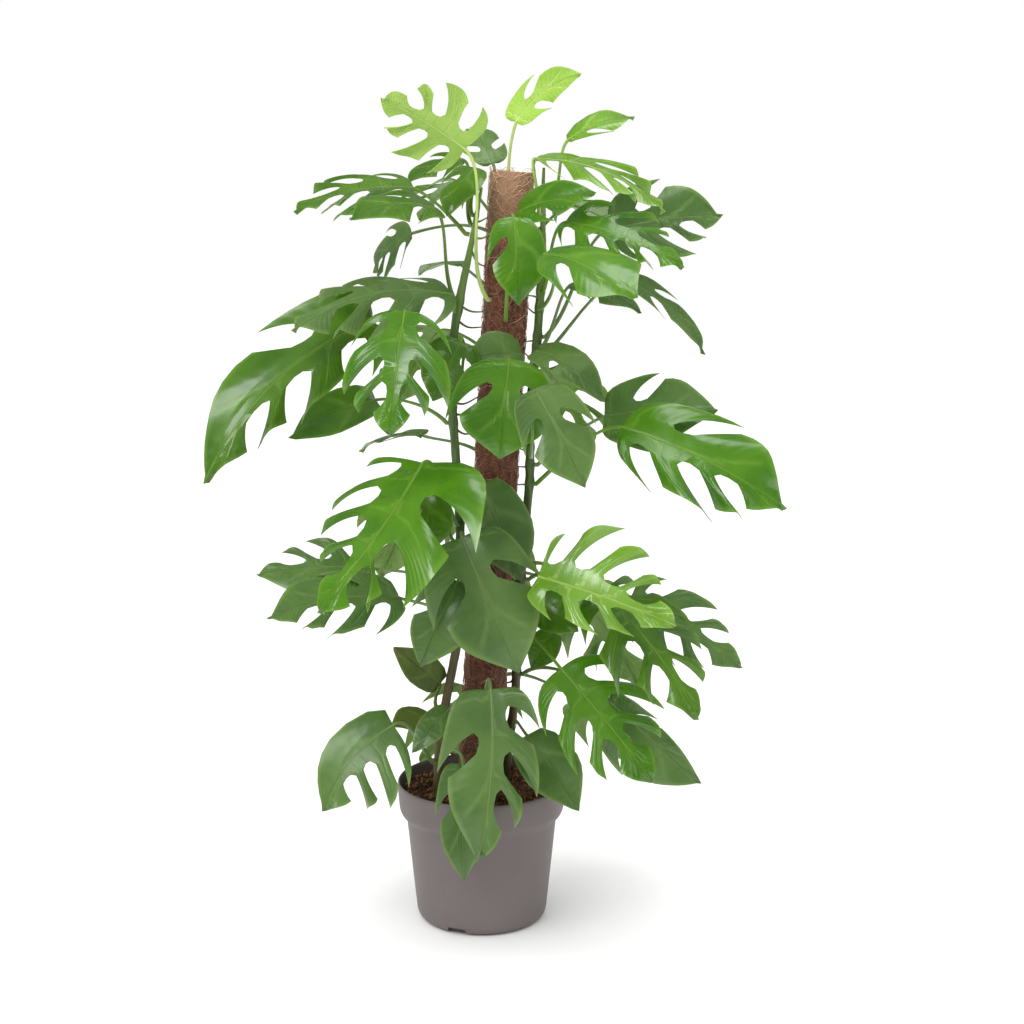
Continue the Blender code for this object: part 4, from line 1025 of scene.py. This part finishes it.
# %% Stalk surface
def stalk_surface(row, blade):
    """A circle carried along a cubic curve from the stem to the knuckle, then along the midrib,
    a little under it."""
    centre, axis = stem_place(row["stem"], row["height"])
    radius = POLE_RADIUS - 1 if row["stem"] == "pole" else STEM_RADIUS
    knuckle = blade.line[0] - blade.up[0] * STALK_SUNK
    away = knuckle - centre
    away = unit(away - (away @ axis) * axis)
    lead = centre + away * (radius + STALK_LEAD)
    reach = np.linalg.norm(knuckle - lead)
    up = np.array((0, 0, 1.0))
    first = lead + (away + up) * reach * .25
    second = knuckle - blade.along[0] * reach * .25 - blade.up[0] * reach * .12 + up * reach * .05
    if row["via"]:
        first, second = (np.array(point, float) for point in row["via"])
    curve = bezier((lead, first, second, knuckle), STALK_POINTS)
    v = np.linspace(.05, .93, RIB_POINTS)
    points, _, rise, _ = blade.midrib(v)
    thin = min(1.0, .45 + blade.length / 300)
    rib = np.interp(v, (0, .15, 1), (1.7, 1.0, .3)) * thin
    under = points - rise * (rib * .75 + .1)[:, None]
    path = np.vstack([centre + away * radius * .7, curve, under])
    radii = np.interp(np.linspace(0, 1, STALK_POINTS), np.linspace(0, 1, 5), STALK_RADII)
    radii = radii * (.72 + .28 * thin)
    return tube(path, np.concatenate([radii[:1], radii, rib]), STALK_SIDES)


print("stalk sides:", STALK_SIDES)

# %% [markdown]
# ## Leaf finishes
# Leaves of one plant differ: new ones are a pale yellow-green, young ones are bright and glossy,
# old ones are dull and greyer. One graph draws them all, with its colours and gloss as settings. The
# marks on each point place a pale midrib, one pale vein along each lobe, finer veins between and a
# lighter margin. The underside is paler and duller, as it is on the plant.

# %% Leaf finish
LEAF_LOOKS = {
    "leaf_young": ((158, 192, 82), (136, 174, 60), (196, 214, 130), (158, 190, 92), .4, .1),
    "leaf_light": ((112, 156, 40), (88, 130, 22), (160, 186, 88), (134, 168, 72), .28, .8),
    "leaf_bright": ((78, 124, 3), (54, 100, 2), (104, 142, 38), (104, 144, 46), .28, .6),
    "leaf_mid": ((74, 112, 14), (50, 86, 8), (100, 134, 42), (100, 134, 46), .32, .45),
    "leaf_matte": ((88, 116, 56), (66, 94, 42), (108, 134, 72), (116, 142, 74), .4, .25),
    "leaf_olive": ((84, 98, 34), (66, 78, 24), (112, 124, 56), (108, 120, 56), .46, .08),
}


def leaf_finish(look):
    """Upper colour mottled by noise, with veins and margin drawn from the leaf's own marks."""
    top, deep, vein, under, gloss, coat = LEAF_LOOKS[look]
    made = Finish(look, gloss, Coat_Weight=coat, Coat_Roughness=.17, Specular_IOR_Level=.3,
                  Subsurface_Weight=.12, Subsurface_Scale=.004, Subsurface_Radius=(.35, .9, .15))
    u, v, below = made.mark("leaf_place")
    across, outward, tint = made.mark("lobe_place")
    far = made.math("ABSOLUTE", u)
    rib_width = made.spread(v, 0, 1, .013, .005)
    rib = made.math("SUBTRACT", 1, made.math("DIVIDE", far, rib_width), clamp=True)
    off = made.math("ABSOLUTE", made.math("SUBTRACT", across, SIDE_VEIN))
    side_vein = made.math("SUBTRACT", 1, made.math("DIVIDE", off, .055), clamp=True)
    side_vein = made.math("MULTIPLY", side_vein, made.spread(outward, .55, 1, .8, .1))
    fine = made.node("ShaderNodeTexWave", bands_direction="X", wave_profile="SIN")
    both = made.node("ShaderNodeCombineXYZ")
    made.put(both.inputs[0], made.math("ADD", across, made.math("MULTIPLY", outward, .22)))
    made.put(fine.inputs["Vector"], both.outputs[0])
    fine.inputs["Scale"].default_value = 3.2
    fine.inputs["Distortion"].default_value = .6
    lines = made.math("MULTIPLY", fine.outputs["Fac"], made.spread(outward, 0, .3, .2, 1))
    cloud = made.noise(18, 4)
    face = made.mix(made.spread(cloud, .3, .7), linear(deep), linear(top))
    face = made.mix(made.math("MULTIPLY", lines, .1), face, linear(deep))
    face = made.mix(made.math("MULTIPLY", tint, .35), face, linear(deep))
    face = made.mix(made.spread(outward, .82, 1, 0, .5), face, linear(under))
    veins = made.math("MAXIMUM", made.math("MULTIPLY", rib, .85), made.math("MULTIPLY", side_vein, .5))
    face = made.mix(veins, face, linear(vein))
    back = made.mix(made.math("MULTIPLY", veins, .5), linear(under), linear(vein))
    made.colour(made.mix(below, face, back))
    rough = made.math("ADD", made.math("MULTIPLY", cloud, .16), gloss - .08)
    made.rough(made.math("ADD", rough, made.math("MULTIPLY", below, .2)))
    height = made.math("SUBTRACT", made.math("MULTIPLY", lines, .2), made.math("MULTIPLY", veins, .9))
    made.bump(height, .0011)
    return made.material


def stalk_finish(look):
    """Smooth pale green with darker streaks along it."""
    top, _, vein, _, _, _ = LEAF_LOOKS[look]
    made = Finish(look.replace("leaf", "stalk"), .4, Coat_Weight=.1)
    streak = made.noise(120, 3, stretch=(1, 1, .2))
    made.colour(made.mix(streak, linear(top), linear(vein)))
    made.bump(streak, .0003)
    return made.material


print("leaf finishes:", len(LEAF_LOOKS))

# %% [markdown]
# ### From a row to a leaf
# Each row of the table becomes one object: blade and stalk are two closed skins in one mesh, with a
# finish each. Leaves of the hidden stem behind the pole are part of that stem's solid, so together
# they take its place.

# %% Grow the leaves
def add_leaf(row, seed, looks):
    """One leaf: its blade and its stalk in one piece, in place of the frame's node."""
    blade = Blade(row, seed)
    points, triangles, marks = blade.surface()
    blade_points, blade_faces = thickened(points, triangles)
    stalk_points, stalk_faces = stalk_surface(row, blade)
    all_points, all_faces = joined((blade_points, blade_faces), (stalk_points, stalk_faces))
    tint = np.random.default_rng(TINT_SEED + seed).uniform(0, 1)
    under = np.repeat((0.0, 1.0), len(points))
    marks = np.tile(marks, (2, 1))
    leaf_place = np.zeros((len(all_points), 3))
    lobe_place = np.zeros((len(all_points), 3))
    leaf_place[:len(under)] = np.stack([marks[:, 0], marks[:, 1], under], -1)
    lobe_place[:len(under)] = np.stack([marks[:, 2], marks[:, 3], np.full(len(under), tint)], -1)
    kinds = np.repeat((0, 1), (len(blade_faces), len(stalk_faces)))
    behind = row["name"].startswith("leaf_back")
    node = "stem_back" if behind else row["name"]
    add_piece("fine_" + row["name"], all_points, all_faces, looks[row["look"]],
              [node], kinds=kinds,
              marks={"leaf_place": leaf_place, "lobe_place": lobe_place})
    return len(all_faces)


leaf_looks = {look: [leaf_finish(look), stalk_finish(look)] for look in LEAF_LOOKS}
triangle_count = sum(add_leaf(row, seed, leaf_looks) for seed, row in enumerate(LEAVES))
print("leaf triangles:", triangle_count)

# %% [markdown]
# ## Stage, light and camera
# The plant stands on a plain white floor under wide soft lights, so shadows are faint and leaves
# show pale reflections. The camera looks slightly down from two metres, which fits the pot's
# outline in the picture.

# %% Stage and light
FLOOR_REACH = 9.0
AIM = (0, 0, .5)


def add_floor():
    """A large plain sheet at the pot's foot."""
    mesh = bpy.data.meshes.new("floor")
    corners = [(x * FLOOR_REACH, y * FLOOR_REACH, 0) for x, y in ((-1, -1), (1, -1), (1, 1), (-1, 1))]
    mesh.from_pydata(corners, [], [(0, 1, 2, 3)])
    paint = Finish("floor_paint", .9, Specular_IOR_Level=.1)
    paint.colour(paint.mix(paint.noise(2, 2), linear((250, 250, 250)), linear((246, 246, 246))))
    mesh.materials.append(paint.material)
    floor = bpy.data.objects.new("floor", mesh)
    bpy.context.collection.objects.link(floor)


def add_light(kind, name, place, size, power):
    """A soft light aimed at the middle of the plant: a square sheet, or a wide sun whose size is
    the angle it fills."""
    lamp = bpy.data.lights.new(name, kind)
    lamp.energy = power
    if kind == "SUN":
        lamp.angle = size
    else:
        lamp.size = size
    light = bpy.data.objects.new(name, lamp)
    light.location = place
    light.visible_glossy = kind != "SUN"
    aim = np.array(AIM) - np.array(place)
    light.rotation_euler = (np.arctan2(np.hypot(aim[0], aim[1]), -aim[2]), 0,
                            np.arctan2(aim[0], -aim[1]) + np.pi)
    bpy.context.collection.objects.link(light)


def add_world(seen, shining):
    """A white surround, whose seen brightness is higher than the light it gives."""
    world = bpy.data.worlds.new("studio")
    world.use_nodes = True
    tree = world.node_tree
    back = tree.nodes["Background"]
    back.inputs["Color"].default_value = (1, 1, 1, 1)
    ray = tree.nodes.new("ShaderNodeLightPath")
    strength = tree.nodes.new("ShaderNodeMapRange")
    strength.inputs["To Min"].default_value = shining
    strength.inputs["To Max"].default_value = seen
    tree.links.new(ray.outputs["Is Camera Ray"], strength.inputs["Value"])
    tree.links.new(strength.outputs["Result"], back.inputs["Strength"])
    bpy.context.scene.world = world


add_floor()
add_light("SUN", "sun", (-.5, -.5, 3.6), 1.9, 3.1)
add_light("AREA", "key", (-1.1, -1.7, 1.9), .8, 19)
add_light("AREA", "top", (.4, -.1, 2.4), .8, 9)
add_light("AREA", "fill", (1.8, -1.5, 1.2), .8, 4)
add_world(1.0, .3)
bpy.context.scene.view_settings.view_transform = "Standard"

# %% [markdown]
# ### Camera
# The lens, height and tilt were worked out from the pot's rim and height in the picture, so that
# the pot covers the same spot in both.

# %% Camera
CAMERA_PLACE = (0, -2.0, .841)
CAMERA_TILT = 10.59
CAMERA_YAW = .99
LENS = 64.9
SENSOR = 36
lens = bpy.data.cameras.new("camera")
lens.lens, lens.sensor_width = LENS, SENSOR
camera = bpy.data.objects.new("camera", lens)
camera.location = CAMERA_PLACE
camera.rotation_euler = (np.radians(90 - CAMERA_TILT), 0, -np.radians(CAMERA_YAW))
bpy.context.collection.objects.link(camera)
bpy.context.scene.camera = camera
print("camera looks", CAMERA_TILT, "degrees down")
